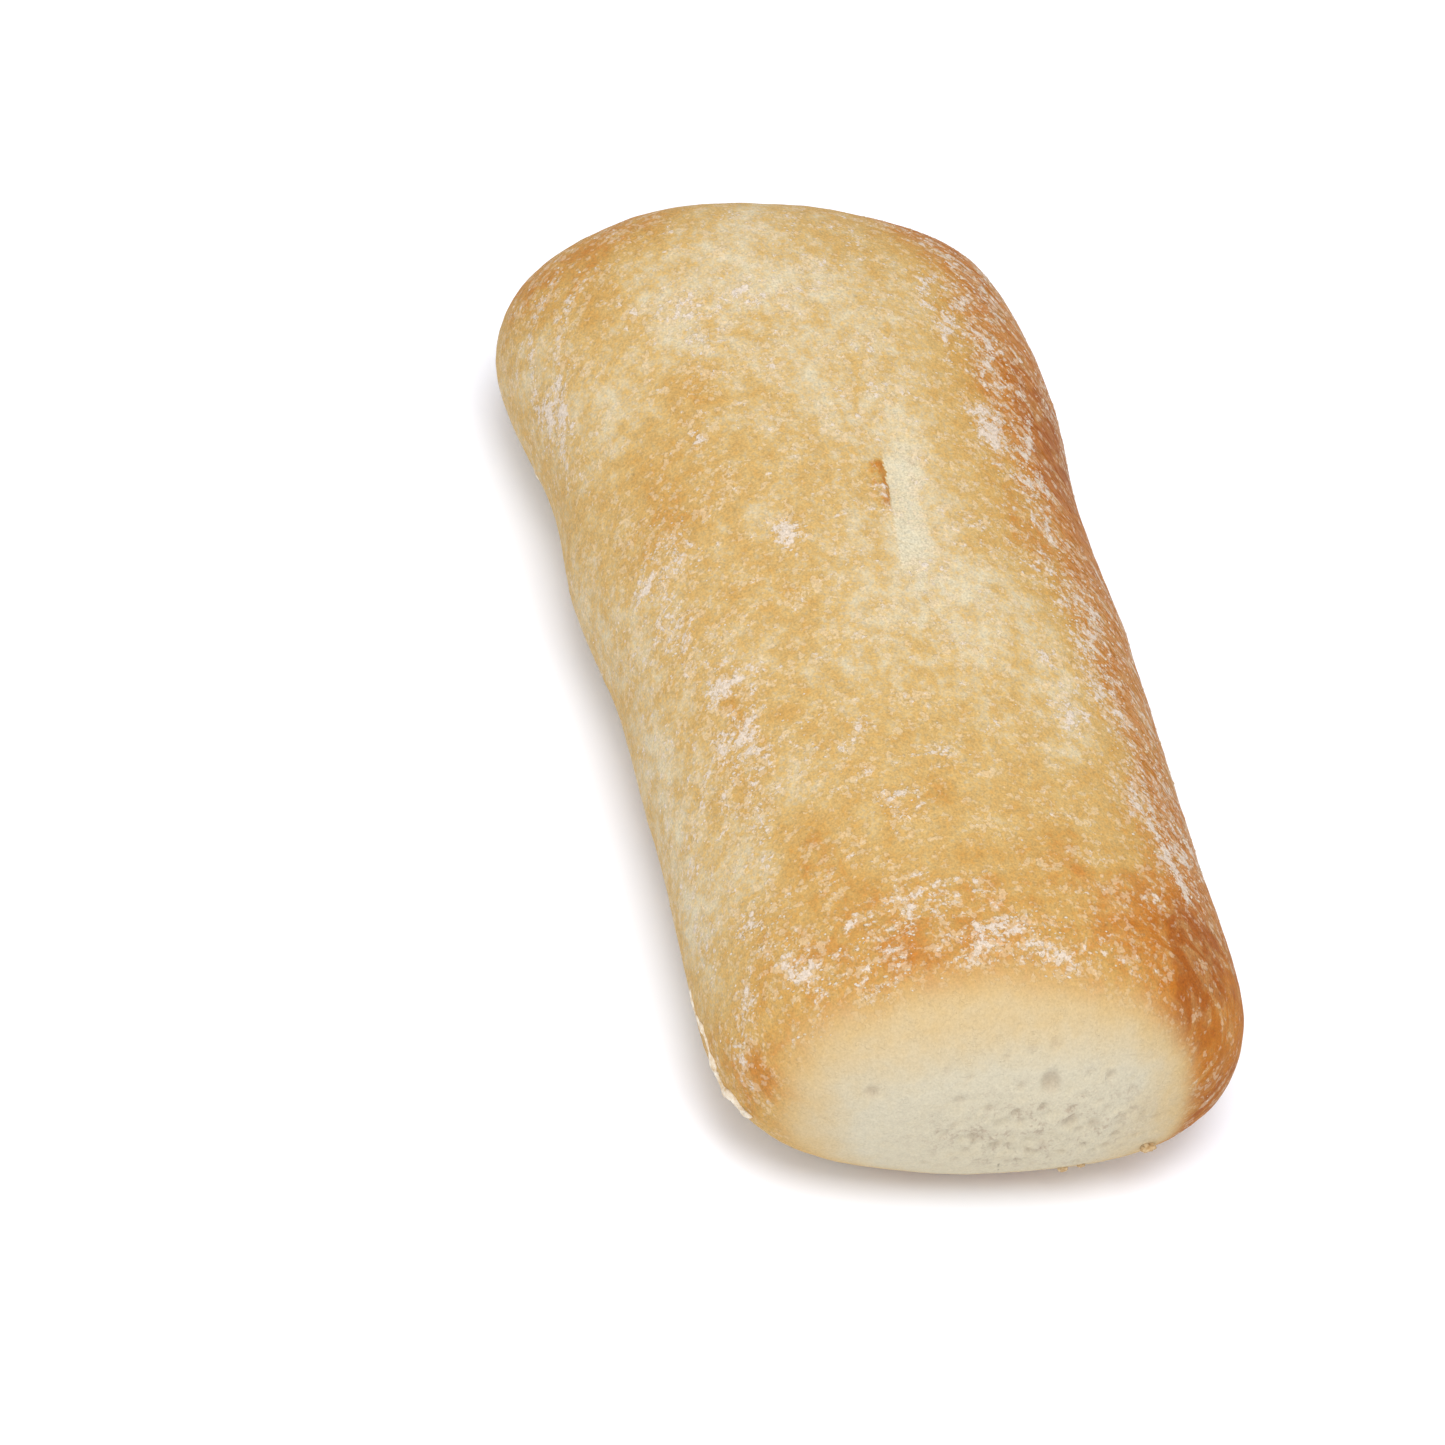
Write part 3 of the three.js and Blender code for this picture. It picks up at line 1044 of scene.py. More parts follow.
    scuffs: tuple[Scuff, ...] = rows_of(
        Scuff,
        ((-67, -33), (-44, -44), -1.5, 1.0, 0.26), ((-62, -30), (-38, -39), -2.0, 0.9, 0.24),
        ((-50, -34), (-36, -42), -1.0, 1.0, 0.2), ((-47, -45), (-38, -38), 2.5, 1.1, 0.22),
        ((-48, -41), (-41, -47), 2.0, 1.1, 0.2), ((-57, 21), (-49, 16), -0.5, 0.7, 0.35),
        ((-53, 25), (-38, 17), -2.0, 0.7, 0.3), ((-46, 26), (-37, 19), 2.0, 0.7, 0.3),
        ((-33, 29), (-22, 24), 1.0, 0.6, 0.35), ((-14, -30), (-6, -37), -1.0, 1.1, 0.12),
        ((56, -13), (69, -20), 1.5, 1.0, 0.2), ((61, 1), (69, -9), -1.5, 1.1, 0.24),
        ((38, 23), (58, 28), 1.5, 0.7, 0.3),
    )
    # Where the +Y flank has few grooves, and how strongly the flour's dashes bend into arches.
    ungrooved: Patch = Patch(-38, 31, 18, 7, 0.55)
    arch: float = 0.010
    pores_front: tuple[Spot, ...] = rows_of(
        Spot,
        (7.3, 25.3, 3.4), (-16.4, 22.7, 2.2), (-1.5, 15.9, 2.6), (1.6, 14.2, 2.0), (11, 18.6, 2.4),
        (14.5, 17.4, 2.2), (3.2, 20.6, 1.7), (18.2, 14.6, 1.8), (15.5, 25.5, 1.8), (12.4, 26.6, 1.3),
        (4.1, 30.0, 1.4), (7.2, 30.4, 1.5), (-7.2, 27.3, 1.3), (-4.9, 22.9, 1.7), (-4.0, 26.3, 1.2),
        (0.8, 29.1, 1.2), (3.1, 25.0, 1.6), (-0.4, 21.4, 1.4), (19.1, 22.6, 1.9), (15.9, 20.2, 1.3),
    )
    scatters: tuple[Scatter, ...] = rows_of(
        Scatter, (1, 16, (-8, 24), (9, 20), (0.9, 1.7), 7), (-1, 6, (-18, 16), (9, 22), (1.1, 2.6), 19)
    )
    # A pore's and a pinhole's radius and depth, as shares of its width, and where the ends with pores begin.
    pore_radius: float = 0.55
    pore_depth: float = 0.24
    pinhole_radius: float = 0.6
    pinhole_depth: float = 0.4
    pores_from: float = 60.0
    # Pinholes in the stretched skin: x, y and width.
    pinholes: tuple[Triple, ...] = (
        (-20.8, 6.8, 1.0), (-19.4, 6.8, 0.9), (0.0, -1.0, 0.9), (2.3, 2.6, 0.9), (6.4, 3.0, 0.9),
        (7.3, 0.0, 0.8),
    )
    # The tear on the crown: from, to, the crease's width and depth, the lip's width and rise, and the
    # height above which the crown begins.
    tear_from: Pair = (-19.6, 2.9)
    tear_to: Pair = (-10.1, 2.1)
    tear_width: float = 1.2
    tear_depth: float = 0.35
    lip_width: float = 1.5
    lip_rise: float = 0.4
    crown_height: float = 30.0

    def gradings(self) -> tuple[Array, Array, Array]:
        """The cube's divisions from -1 to 1 along, across and up the roll.

        Across and up they are tan(u * pi / 4) for even steps of u, which gives even cells round the roll.
        Along it their closeness is 1 plus a bell for each entry of finer.

        Returns:
            The divisions in the three directions.
        """
        nx, ny, nz = self.divisions
        fine = np.linspace(-1.0, 1.0, 2001)
        x = fine * self.form.length / 2
        closeness = 1.0 + sum(gain * bell(x - middle, half) for middle, half, gain in self.finer)
        run = np.concatenate([[0.0], np.cumsum((closeness[1:] + closeness[:-1]) / 2)])
        along = np.interp(np.linspace(0.0, run[-1], nx + 1), run, fine)
        across, up = (np.tan(np.linspace(-1.0, 1.0, n + 1) * np.pi / 4) for n in (ny, nz))
        return along, across, up

    def crumb_share(self, points: Array) -> Array:
        """How far each point is on a pale end.

        Args:
            points: points of the form.

        Returns:
            Shares from 0 on the crust through 0.5 at the end's rim to 1 in its middle.
        """
        _, y, z = points.T
        degrees = np.degrees(np.arctan2(y - self.end_middle, z - self.form.girth_height))
        turn, begin, full = np.array(self.front_edge).T
        x = points[:, 0] + 0.8 * fractal_noise(points, 8.0, 31, 3)
        begin, full = np.interp(degrees, turn, begin), np.interp(degrees, turn, full)
        front = (x - begin + 1.5) / (full - begin + 2.0)
        rear = (-x - self.rear_edge[0]) / (self.rear_edge[1] - self.rear_edge[0])
        rim = np.clip(np.maximum(front, rear), 0.0, 1.0)
        middle = smooth_step(1.45, 0.75, self.palest.away(y, z))
        return rim * (0.5 + 0.5 * middle) * smooth_step(0.2, 1.4, z)

    def open_crumb(self, points: Array) -> Array:
        """How torn and open the crumb is.

        Args:
            points: points of the form.

        Returns:
            Shares from 0 to 1: a soft-edged oval on each end.
        """
        x, y, z = points.T
        front = bell(self.open_front.away(y, z), 1.0) * (x > self.open_from)
        rear = bell(self.open_rear.away(y, z), 1.0) * (x < -self.open_from)
        return np.clip(1.3 * np.maximum(front, rear), 0.0, 1.0)

    def hollows(self, points: Array) -> Array:
        """How deep each point lies in a pore or a pinhole.

        A pore is the bowl depth * (1 - (r / R)^2)^1.5 and a pinhole depth * (1 - (r / R)^2), with rims made
        uneven by noise.

        Args:
            points: points of the form.

        Returns:
            Depths in millimetres.
        """
        x, y, z = points.T
        uneven = 1.0 + 0.28 * fractal_noise(points, 1.4, 51, 2)
        depth = np.zeros(len(points))
        pores = [(1, pore) for pore in self.pores_front]
        pores += [(scatter.side, pore) for scatter in self.scatters for pore in scatter.pores()]
        for side, pore in pores:
            away = np.hypot(y - pore.y, z - pore.z) / (self.pore_radius * pore.size) * uneven
            bowl = np.clip(1.0 - away**2, 0.0, 1.0) ** 1.5
            depth = np.maximum(depth, self.pore_depth * pore.size * bowl * (side * x > self.pores_from))
        for hole_x, hole_y, size in self.pinholes:
            away = np.hypot(x - hole_x, y - hole_y) / (self.pinhole_radius * size) * uneven
            bowl = np.clip(1.0 - away**2, 0.0, 1.0)
            depth = np.maximum(depth, self.pinhole_depth * size * bowl * (z > self.crown_height))
        return depth

    def tear(self, points: Array) -> tuple[Array, Array]:
        """The tear's crease and its lip.

        Both run along the line from tear_from to tear_to, ragged by noise. Across it they are bells, and
        along it they fade at the ends.

        Args:
            points: points of the form.

        Returns:
            The share of the crease's depth and of the lip's rise at each point.
        """
        start, end = np.array(self.tear_from), np.array(self.tear_to)
        run = np.linalg.norm(end - start)
        ahead = (end - start) / run
        gap = points[:, :2] - start
        along = gap @ ahead / run
        across = gap @ np.array([-ahead[1], ahead[0]]) + 0.35 * lattice_noise(points, 1.6, 61)
        above = points[:, 2] > self.crown_height
        ends = smooth_step(-0.08, 0.15, along) * smooth_step(1.08, 0.85, along) * above
        crease = bell(across, 0.5 * self.tear_width) * ends
        lip = bell(across + 0.4 * (self.tear_width + self.lip_width), 0.6 * self.lip_width) * ends
        return crease, lip * (1.0 + 0.5 * lattice_noise(points, 1.3, 62))

    def relief(self, points: Array) -> Array:
        """How far the fine relief stands out from the form at each point.

        It is the crust's fine wrinkling, less the pores, the tear's crease and the open crumb's pits, plus
        the tear's lip, and a low welt along the edge of the base.

        Args:
            points: points of the form.

        Returns:
            Heights in millimetres.
        """
        crumb = self.crumb_share(points)
        opened = self.open_crumb(points) * crumb
        wrinkle = 0.1 * fractal_noise(points, 6.0, 11, 3) + 0.05 * fractal_noise(points, 2.0, 15, 2)
        crease, lip = self.tear(points)
        small, large = self.pit_depths
        pits = small * cell_pits(points, *self.small_pits) + large * cell_pits(points, *self.large_pits)
        torn = 0.26 * fractal_noise(points, 1.1, 91, 2)
        welt = 0.25 * bell(points[:, 2] - 1.4, 1.1) * (0.7 + 0.6 * fractal_noise(points, 7.0, 95, 2))
        total = wrinkle * (1.0 - 0.6 * crumb) - self.hollows(points) + opened * (torn - pits)
        total += self.lip_rise * lip - self.tear_depth * crease + welt
        return total * smooth_step(0.0, 0.6, points[:, 2])

    def lower_flank(self, points: Array) -> Array:
        """How far each point is on the smooth lower flank and the underside.

        Args:
            points: points of the form.

        Returns:
            Shares from 0 above to 1 below. The edge wavers about flank_heights, lower to the front end.
        """
        side = smooth_step(-10.0, 10.0, points[:, 1])
        low, high = self.flank_heights
        edge = low + (high - low) * side * smooth_step(62.0, 46.0, points[:, 0])
        above = points[:, 2] - edge + self.flank_waver * fractal_noise(points, 11.0, 121, 4)
        return smooth_step(self.flank_fade, -self.flank_fade, above)

    def bake_levels(self, points: Array, girdle: Array) -> Array:
        """How brown each point is.

        A golden level, darker on the +Y flank and towards the ends' shoulders, plus the patches, and a
        little paler far down both sides. The lower flanks are even, with a brown line along the bottom
        edge.

        Args:
            points: points of the form.
            girdle: how far round the roll each is.

        Returns:
            Levels from 0, ivory, to 1, red-brown.
        """
        x, y, z = points.T
        level = self.golden + self.flank_brown * smooth_step(14.0, 31.0, girdle)
        level += self.front_brown * smooth_step(44.0, 64.0, x)
        level += self.rear_brown * smooth_step(-56.0, -68.0, x)
        level += sum(patch.at(x, girdle) for patch in self.browning)
        level -= 0.06 * smooth_step(-34.0, -46.0, girdle)
        level -= 0.14 * smooth_step(38.0, 50.0, girdle) * smooth_step(62.0, 46.0, x)
        below = self.even_share * self.lower_flank(points)
        even = self.even_brown[0] + self.even_brown[1] * smooth_step(-10.0, 20.0, y)
        return level * (1.0 - below) + even * below + self.base_brown * bell(z - 0.4, 0.8)

    def flour_levels(self, points: Array, girdle: Array, crumb: Array) -> Array:
        """How thickly each point is floured: a thin dusting, broad drifts, the patches and the scuffs.

        Args:
            points: points of the form.
            girdle: how far round the roll each is.
            crumb: how far each is on a pale end, which has no flour.

        Returns:
            Levels from 0 to 1.
        """
        x = points[:, 0]
        level = self.dusted + self.drift * fractal_noise(points, 16.0, 101, 3)
        level += self.flank_flour * smooth_step(16.0, 27.0, girdle) * smooth_step(60.0, 40.0, x)
        level += self.front_flour * smooth_step(24.0, 40.0, x) * smooth_step(27.0, 17.0, np.abs(girdle + 2.0))
        level += sum(patch.at(x, girdle) for patch in (*self.flour, *self.scuffs))
        return np.clip(level * (1.0 - 0.8 * self.lower_flank(points)), 0.0, 1.0) * (1.0 - crumb)

    def groove_levels(self, points: Array, girdle: Array, crumb: Array) -> Array:
        """How far the floured crust is drawn into grooves: on the +Y flank, short of its ends.

        The finish thins the flour in the grooves and paints them darker, as shade.

        Args:
            points: points of the form.
            girdle: how far round the roll each is.
            crumb: how far each is on a pale end, which has no grooves.

        Returns:
            Levels from 0 to 1.
        """
        edge = girdle + 3.0 * fractal_noise(points, 9.0, 111, 2)
        level = smooth_step(19.0, 31.0, edge) * smooth_step(66.0, 50.0, points[:, 0])
        level *= 1.0 - self.ungrooved.at(points[:, 0], girdle)
        level *= 1.0 - 0.6 * smooth_step(37.0, 46.0, girdle)
        return level * (1.0 - self.lower_flank(points)) * (1.0 - crumb)

    def streaks(self, points: Array, girdle: Array) -> Array:
        """Coordinates in which the flour's dashes lie along the first one, in millimetres.

        The first is s, the way round the roll. The second is x - arch * s^2, constant along the arches that
        the dashes follow. The third is the distance from the roll's inner line.
        """
        away = np.linalg.norm(self.form.from_inner_line(points), axis=1)
        return np.stack([girdle, points[:, 0] - self.arch * girdle**2, away], axis=1)

    def build(self) -> bpy.types.Object:
        """Builds the crust, gives it its attributes and its finish, and stands it in for the solid.

        Returns:
            The crust.
        """
        cube, faces = divided_cube(self.gradings())
        smooth = self.form.surface(cube)
        points = smooth + vertex_normals(smooth, faces) * self.relief(smooth)[:, None]
        points[:, 2] = np.maximum(points[:, 2], 0.0)
        piece = mesh_object("crust", points, faces, self.finish.make())
        girdle = self.form.girdle(smooth)
        crumb = self.crumb_share(smooth)
        opened = self.open_crumb(smooth) * crumb
        # The pit attribute is painted shade: darker the deeper a pore or pinhole, and in the open crumb's
        # pits.
        pit = np.clip(self.hollows(smooth) / 0.5, 0.0, 1.0) * 0.34
        pit += 0.4 * opened * cell_pits(smooth, *self.small_pits)
        levels = {
            "browning": self.bake_levels(smooth, girdle),
            "flour": self.flour_levels(smooth, girdle, crumb),
            "grooved": self.groove_levels(smooth, girdle, crumb),
            "crumb": crumb,
            "opened": opened,
            "pit": np.clip(pit, 0.0, 1.0),
        }
        for name, level in levels.items():
            attribute = piece.data.attributes.new(name, "FLOAT", "POINT")
            attribute.data.foreach_set("value", level.astype(np.float32))
        attribute = piece.data.attributes.new("streak", "FLOAT_VECTOR", "POINT")
        attribute.data.foreach_set("vector", self.streaks(smooth, girdle).astype(np.float32).ravel())
        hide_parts("roll")
        return piece


@dataclass(frozen=True)
class Thread:
    """A strand of dried dough along a flank: its side, from and to, its height and half thickness."""

    side: int
    start: float
    end: float
    height: float
    radius: float = 0.42


@dataclass
class DoughThreads:
    """The strands of dried dough and flour along the lower flanks, wavering and half sunk in the crust."""

    form: RollForm
    finish: DriedDough = field(default_factory=DriedDough)
    # How far a strand wavers up and down, in wide and in narrow waves: height and wave length.
    waves: tuple[Pair, ...] = ((1.9, 7.0), (0.9, 2.0))
    spacing: float = 0.18
    sides: int = 12
    # How far a strand stands out, as a share of its half thickness up and down.
    flatness: float = 0.6
    first_seed: int = 201
    threads: tuple[Thread, ...] = rows_of(
        Thread,
        (-1, 50, 64, 11.5, 0.6), (-1, 62, 73.5, 10.5, 0.85), (-1, 33, 38, 7), (-1, 11, 22, 6.4),
        (-1, 3, 7, 5.5), (-1, -14, -5, 6.6), (-1, -33, -21, 6.2), (-1, -48, -43, 7), (1, -44, -33, 12),
        (1, -30, -26.5, 11), (1, -22, -14, 11.8), (1, 22, 33, 12.4), (1, 36.5, 39.5, 13), (1, 41, 47, 12.2),
    )

    def tube(self, thread: Thread, seed: int) -> tuple[Array, Array]:
        """One strand: circles of uneven radius carried along the flank, drawn to a point at both ends.

        Args:
            thread: the strand.
            seed: picks its unevenness.

        Returns:
            Its points and quads. The first and last circles, which are very small, are filled.
        """
        steps = int((thread.end - thread.start) / self.spacing)
        x = np.linspace(thread.start, thread.end, steps + 1)
        marks = np.stack([x, np.full_like(x, seed * 10.0), np.zeros_like(x)], axis=1)
        height = thread.height + sum(rise * lattice_noise(marks, length, seed) for rise, length in self.waves)
        targets = np.stack([x, np.zeros_like(x), height], axis=1)
        path = self.form.points_on(Axis.ACROSS, thread.side, targets)
        ahead = np.gradient(path, axis=0)
        ahead /= np.linalg.norm(ahead, axis=1, keepdims=True)
        out = self.form.outward(path)
        up = np.cross(ahead, out)
        share = np.linspace(0.0, 1.0, steps + 1)
        taper = np.sqrt(np.clip(smooth_step(0.0, 0.06, share) * smooth_step(1.0, 0.94, share), 1e-4, 1.0))
        uneven = np.clip(0.85 + 0.75 * fractal_noise(marks, 1.7, seed + 5, 2), 0.2, 2.0)
        thick = thread.radius * taper * uneven
        turn = np.linspace(0.0, 2 * np.pi, self.sides, endpoint=False)[None, :, None]
        ring = np.cos(turn) * out[:, None] * self.flatness + np.sin(turn) * up[:, None]
        points = path[:, None] + thick[:, None, None] * ring
        row, side = np.meshgrid(np.arange(steps), np.arange(self.sides), indexing="ij")
        after = (side + 1) % self.sides
        corners = (row * self.sides + side, row * self.sides + after, (row + 1) * self.sides + after)
        quads = np.stack([*corners, (row + 1) * self.sides + side], axis=-1).reshape(-1, 4)
        near = np.arange(self.sides // 2 - 1)
        cap = np.stack([near, near + 1, self.sides - 2 - near, self.sides - 1 - near], axis=-1)
        return points.reshape(-1, 3), np.concatenate([quads, cap[:, ::-1], cap + steps * self.sides])

    def build(self) -> bpy.types.Object:
        """Builds all strands as one piece."""
        tubes = [self.tube(thread, self.first_seed + k) for k, thread in enumerate(self.threads)]
        return mesh_object("dough_threads", *joined(tubes), self.finish.make())


@dataclass
class RaggedCrumbs:
    """The crumbs that stick to the lower edge of the front end: lumps with an uneven skin."""

    form: RollForm
    # Browner tones for the crumbs. The darker one lies in the bump's hollows as painted shade.
    finish: DriedDough = field(default_factory=lambda: DriedDough(pale="#CBB188", dark="#A68152"))
    crumbs: tuple[Spot, ...] = rows_of(Spot, (12.9, 6.2, 1.6), (15.4, 6.8, 1.1), (24.3, 9.4, 2.2))
    divisions: int = 14
    # Half sizes along, across and up, as shares of a crumb's width.
    half_sizes: Triple = (0.45, 0.5, 0.38)
    first_seed: int = 301
    seed_step: int = 7

    def lump(self, place: Spot, seed: int) -> tuple[Array, Array]:
        """One crumb: a divided cube blown up to a ball, squashed, and roughened by noise.

        Args:
            place: where it sits and its width.
            seed: picks its roughness.

        Returns:
            Its points and quads.
        """
        cube, faces = divided_cube((np.linspace(-1.0, 1.0, self.divisions + 1),) * 3)
        ball = cube / np.linalg.norm(cube, axis=1, keepdims=True)
        rough = 0.85 + 0.42 * fractal_noise(ball + seed, 0.8, seed, 3)
        seat = self.form.points_on(Axis.ALONG, 1, np.array([[0.0, place.y, place.z]]))
        half = place.size * np.array(self.half_sizes)
        return seat + ball * rough[:, None] * half, faces

    def build(self) -> bpy.types.Object:
        """Builds all crumbs as one piece."""
        seeds = self.first_seed + self.seed_step * np.arange(len(self.crumbs))
        lumps = [self.lump(place, int(seed)) for place, seed in zip(self.crumbs, seeds)]
        return mesh_object("ragged_crumbs", *joined(lumps), self.finish.make())


# A ball of 20 triangles: the corners of a golden-ratio icosahedron and its faces.
GOLDEN = (1 + 5**0.5) / 2
BALL_POINTS = np.array((
    (-1, GOLDEN, 0), (1, GOLDEN, 0), (-1, -GOLDEN, 0), (1, -GOLDEN, 0), (0, -1, GOLDEN), (0, 1, GOLDEN),
    (0, -1, -GOLDEN), (0, 1, -GOLDEN), (GOLDEN, 0, -1), (GOLDEN, 0, 1), (-GOLDEN, 0, -1), (-GOLDEN, 0, 1),
)) / np.hypot(1, GOLDEN)
BALL_FACES = np.array((
    (0, 11, 5), (0, 5, 1), (0, 1, 7), (0, 7, 10), (0, 10, 11), (1, 5, 9), (5, 11, 4), (11, 10, 2), (10, 7, 6),
    (7, 1, 8), (3, 9, 4), (3, 4, 2), (3, 2, 6), (3, 6, 8), (3, 8, 9), (4, 9, 5), (2, 4, 11), (6, 2, 10),
    (8, 6, 7), (9, 8, 1),
))


@dataclass
class FlourClumps:
    """Thousands of small clumps of flour that stuck to the crust, each a flattened ball of 20 faces."""

    finish: DryFlour = field(default_factory=DryFlour)
    count: int = 2800
    # The smallest and the largest width, and the power that makes small clumps the more common.
    size: Pair = (0.15, 0.42)
    smallness: float = 2.2
    # The flour below which no clump sticks, how strongly flour draws them, and the height of the lowest.
    least_flour: float = 0.1
    favour: float = 2.4
    least_height: float = 2.0
    # How far clumps turn from the dashes and stray along them, their half thickness and how uneven they are.
    turn: float = 0.35
    stray: float = 0.4
    thinness: float = 0.28
    uneven: float = 0.18
    seed: int = 5

    def build(self, crust: bpy.types.Object) -> bpy.types.Object:
        """Scatters the clumps over the crust, more where the flour is thick.

        Args:
            crust: the crust, whose flour attribute says where they fall.

        Returns:
            The clumps as one piece. A vertex is picked with a chance of (flour - least_flour)^favour times
            its share of the skin, and its clump lies along the flour's dashes.
        """
        mesh = crust.data
        points = read_values(mesh.vertices, "co", 3, np.float32).astype(float) / MM
        normals = read_values(mesh.vertex_normals, "vector", 3, np.float32).astype(float)
        flour = read_values(mesh.attributes["flour"].data, "value", 1, np.float32)[:, 0].astype(float)
        quads = read_values(mesh.loops, "vertex_index", 1, np.int32).reshape(-1, 4)
        area = read_values(mesh.polygons, "area", 1, np.float32)[:, 0]
        skin = np.zeros(len(points))
        for k in range(4):
            np.add.at(skin, quads[:, k], area)
        random = np.random.default_rng(self.seed)
        sticks = np.clip(flour - self.least_flour, 0.0, 1.0) ** self.favour
        chance = sticks * skin * (points[:, 2] > self.least_height)
        chosen = random.choice(len(points), self.count, replace=False, p=chance / chance.sum())
        low, high = self.size
        size = low + (high - low) * random.random(self.count) ** self.smallness
        up = normals[chosen]
        along = np.array([1.0, 0.0, 0.0]) + self.turn * random.standard_normal((self.count, 3))
        side = np.cross(up, along)
        side /= np.linalg.norm(side, axis=1, keepdims=True)
        shell = (points[chosen] + (random.random((self.count, 1)) - 0.5) * self.stray * side)[:, None]
        swell = random.standard_normal((self.count, len(BALL_POINTS), 1)).clip(-1.5, 1.5)
        shape = BALL_POINTS[None] * (1.0 + self.uneven * swell)
        halves = (size * (1.0 + random.random(self.count)) / 2, size / 2, self.thinness * size)
        for k, (half, way) in enumerate(zip(halves, (side, np.cross(up, side), up))):
            shell = shell + shape[..., k : k + 1] * half[:, None, None] * way[:, None]
        faces = BALL_FACES[None] + len(BALL_POINTS) * np.arange(self.count)[:, None, None]
        return mesh_object("flour_clumps", shell.reshape(-1, 3), faces.reshape(-1, 3), self.finish.make())


# Floor, light and camera


@dataclass(frozen=True)
class PalePaper:
    """Uncoated white paper: matt, with a faint unevenness that is coarser than real fibre."""

    colour: str = "#FAFBFE"
    fibres_per_metre: float = 300.0
    bump_height: float = 0.02

    def make(self) -> bpy.types.Material:
        """Makes the material."""
        recipe = Recipe("pale_paper")
        place = recipe.add("TexCoord").outputs["Object"]
        noise = {"Vector": place, "Scale": self.fibres_per_metre, "Detail": 2.0}
        fibre = recipe.add("TexNoise", noise).outputs["Fac"]
        bump = recipe.add("Bump", {"Height": fibre, "Distance": self.bump_height * MM}).outputs[0]
        look = {"Base Color": linear(self.colour), "Normal": bump}
        return recipe.finished({**look, "Roughness": 0.9, "Specular IOR Level": 0.1})


@dataclass(frozen=True)
class SoftBox:
    """A square soft box: its name, place and side in metres, and its power in watts."""

    name: str
    place: Triple
    side: float
    power: float

    def hang(self, target: Triple) -> None:
        """Hangs the box, aimed at a target in metres."""
        light = bpy.data.lights.new(self.name, "AREA")
        light.shape = "SQUARE"
        light.size = self.side
        light.energy = self.power
        holder = bpy.data.objects.new(self.name, light)
        holder.location = self.place
        holder.rotation_mode = "QUATERNION"
        holder.rotation_quaternion = (Vector(target) - Vector(self.place)).to_track_quat("-Z", "Y")
        bpy.context.scene.collection.objects.link(holder)


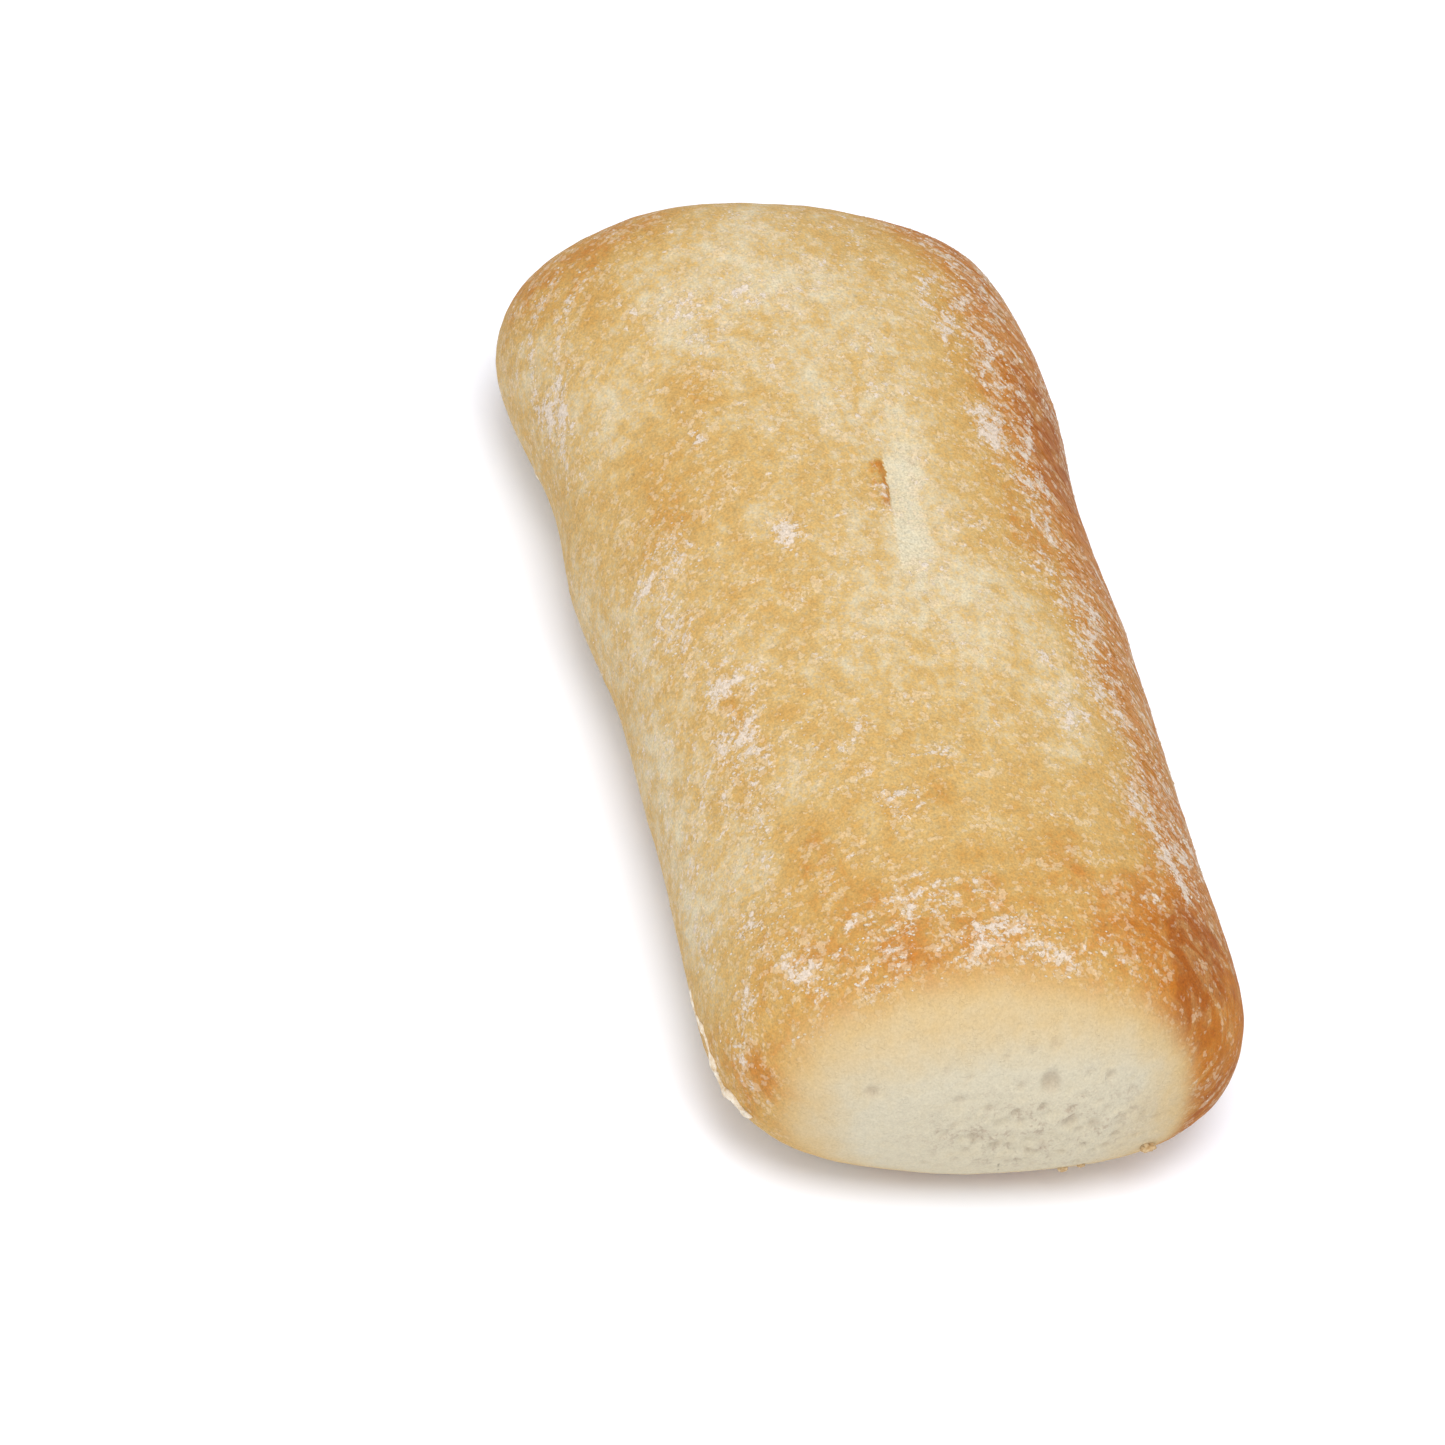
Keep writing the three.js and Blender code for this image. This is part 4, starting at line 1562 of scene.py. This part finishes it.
@dataclass
class Studio:
    """A plain pale floor, soft light and the camera, in millimetres and degrees, but the lights in metres."""

    paper: PalePaper = field(default_factory=PalePaper)
    floor_half: float = 4000.0
    camera_distance: float = 1302.7
    target: Triple = (0.0, 0.0, 15.73)
    elevation: float = 46.732
    azimuth: float = -24.079
    picture_roll: float = 16.241
    # How far the picture's middle lies from the target, to the right and up, in the target's plane.
    picture_middle: Pair = (-18.93, -5.71)
    focal_pixels: float = 9532.0
    picture_pixels: float = 1445.0
    sensor_width: float = 36.0
    # The nearest and the farthest that the camera sees, in metres.
    clip: Pair = (0.05, 20.0)
    world_colour: str = "#F2F5FF"
    world_strength: float = 0.8
    soft_boxes: tuple[SoftBox, ...] = rows_of(
        SoftBox, ("overhead", (0.25, -0.08, 1.2), 0.8, 10.15), ("front", (1.1, -0.5, 0.7), 0.6, 2.6)
    )
    light_target: Triple = (0.0, 0.0, 0.015)

    def floor(self) -> None:
        """Makes the floor, a large flat sheet of pale paper at z = 0."""
        half = self.floor_half * MM
        mesh = bpy.data.meshes.new("floor")
        corners = [(x * half, y * half, 0.0) for x, y in ((-1, -1), (1, -1), (1, 1), (-1, 1))]
        mesh.from_pydata(corners, [], [(0, 1, 2, 3)])
        mesh.materials.append(self.paper.make())
        floor = bpy.data.objects.new("floor", mesh)
        bpy.context.scene.collection.objects.link(floor)
        floor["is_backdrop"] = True

    def lights(self) -> None:
        """Sets an even bright surround and hangs the soft boxes."""
        world = bpy.data.worlds.new("bright_room")
        world.use_nodes = True
        backdrop = world.node_tree.nodes["Background"]
        backdrop.inputs["Color"].default_value = linear(self.world_colour)
        backdrop.inputs["Strength"].default_value = self.world_strength
        bpy.context.scene.world = world
        for box in self.soft_boxes:
            box.hang(self.light_target)

    def camera(self) -> None:
        """Sets the camera by its distance, direction and turn about its own axis."""
        e, a, r = np.radians([self.elevation, self.azimuth, self.picture_roll])
        back = np.array([np.cos(e) * np.cos(a), np.cos(e) * np.sin(a), np.sin(e)])
        level = np.array([-np.sin(a), np.cos(a), 0.0])
        upright = np.cross(back, level)
        right = np.cos(r) * level + np.sin(r) * upright
        up = np.cos(r) * upright - np.sin(r) * level
        target = np.array(self.target)
        eye = target + self.camera_distance * back
        aim = target + self.picture_middle[0] * right + self.picture_middle[1] * up
        toward = (eye - aim) / np.linalg.norm(eye - aim)
        right = np.cross(up, toward)
        right /= np.linalg.norm(right)
        turned = np.stack([right, np.cross(toward, right), toward], axis=1)
        data = bpy.data.cameras.new("camera")
        data.sensor_width = self.sensor_width
        data.lens = self.sensor_width * self.focal_pixels / self.picture_pixels
        data.clip_start, data.clip_end = self.clip
        camera = bpy.data.objects.new("camera", data)
        camera.matrix_world = Matrix.Translation(eye * MM) @ Matrix(turned.tolist()).to_4x4()
        bpy.context.scene.collection.objects.link(camera)
        bpy.context.scene.camera = camera

    def build(self) -> None:
        """Builds the studio."""
        bpy.context.scene.view_settings.view_transform = "Standard"
        self.floor()
        self.lights()
        self.camera()


def main() -> None:
    """Builds the roll's pieces and the studio."""
    logging.basicConfig(level=logging.INFO, format="%(name)s: %(message)s")
    form = RollForm()
    crust = Crust(form).build()
    DoughThreads(form).build()
    RaggedCrumbs(form).build()
    FlourClumps().build(crust)
    Studio().build()
    bpy.context.view_layer.update()
    boxes = {"cad": CAD_BOX, "visual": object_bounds()}
    for name, box in boxes.items():
        log.info("%s box: %s", name, [tuple(round(c, 5) for c in corner) for corner in box])


if __name__ == "__main__":
    main()
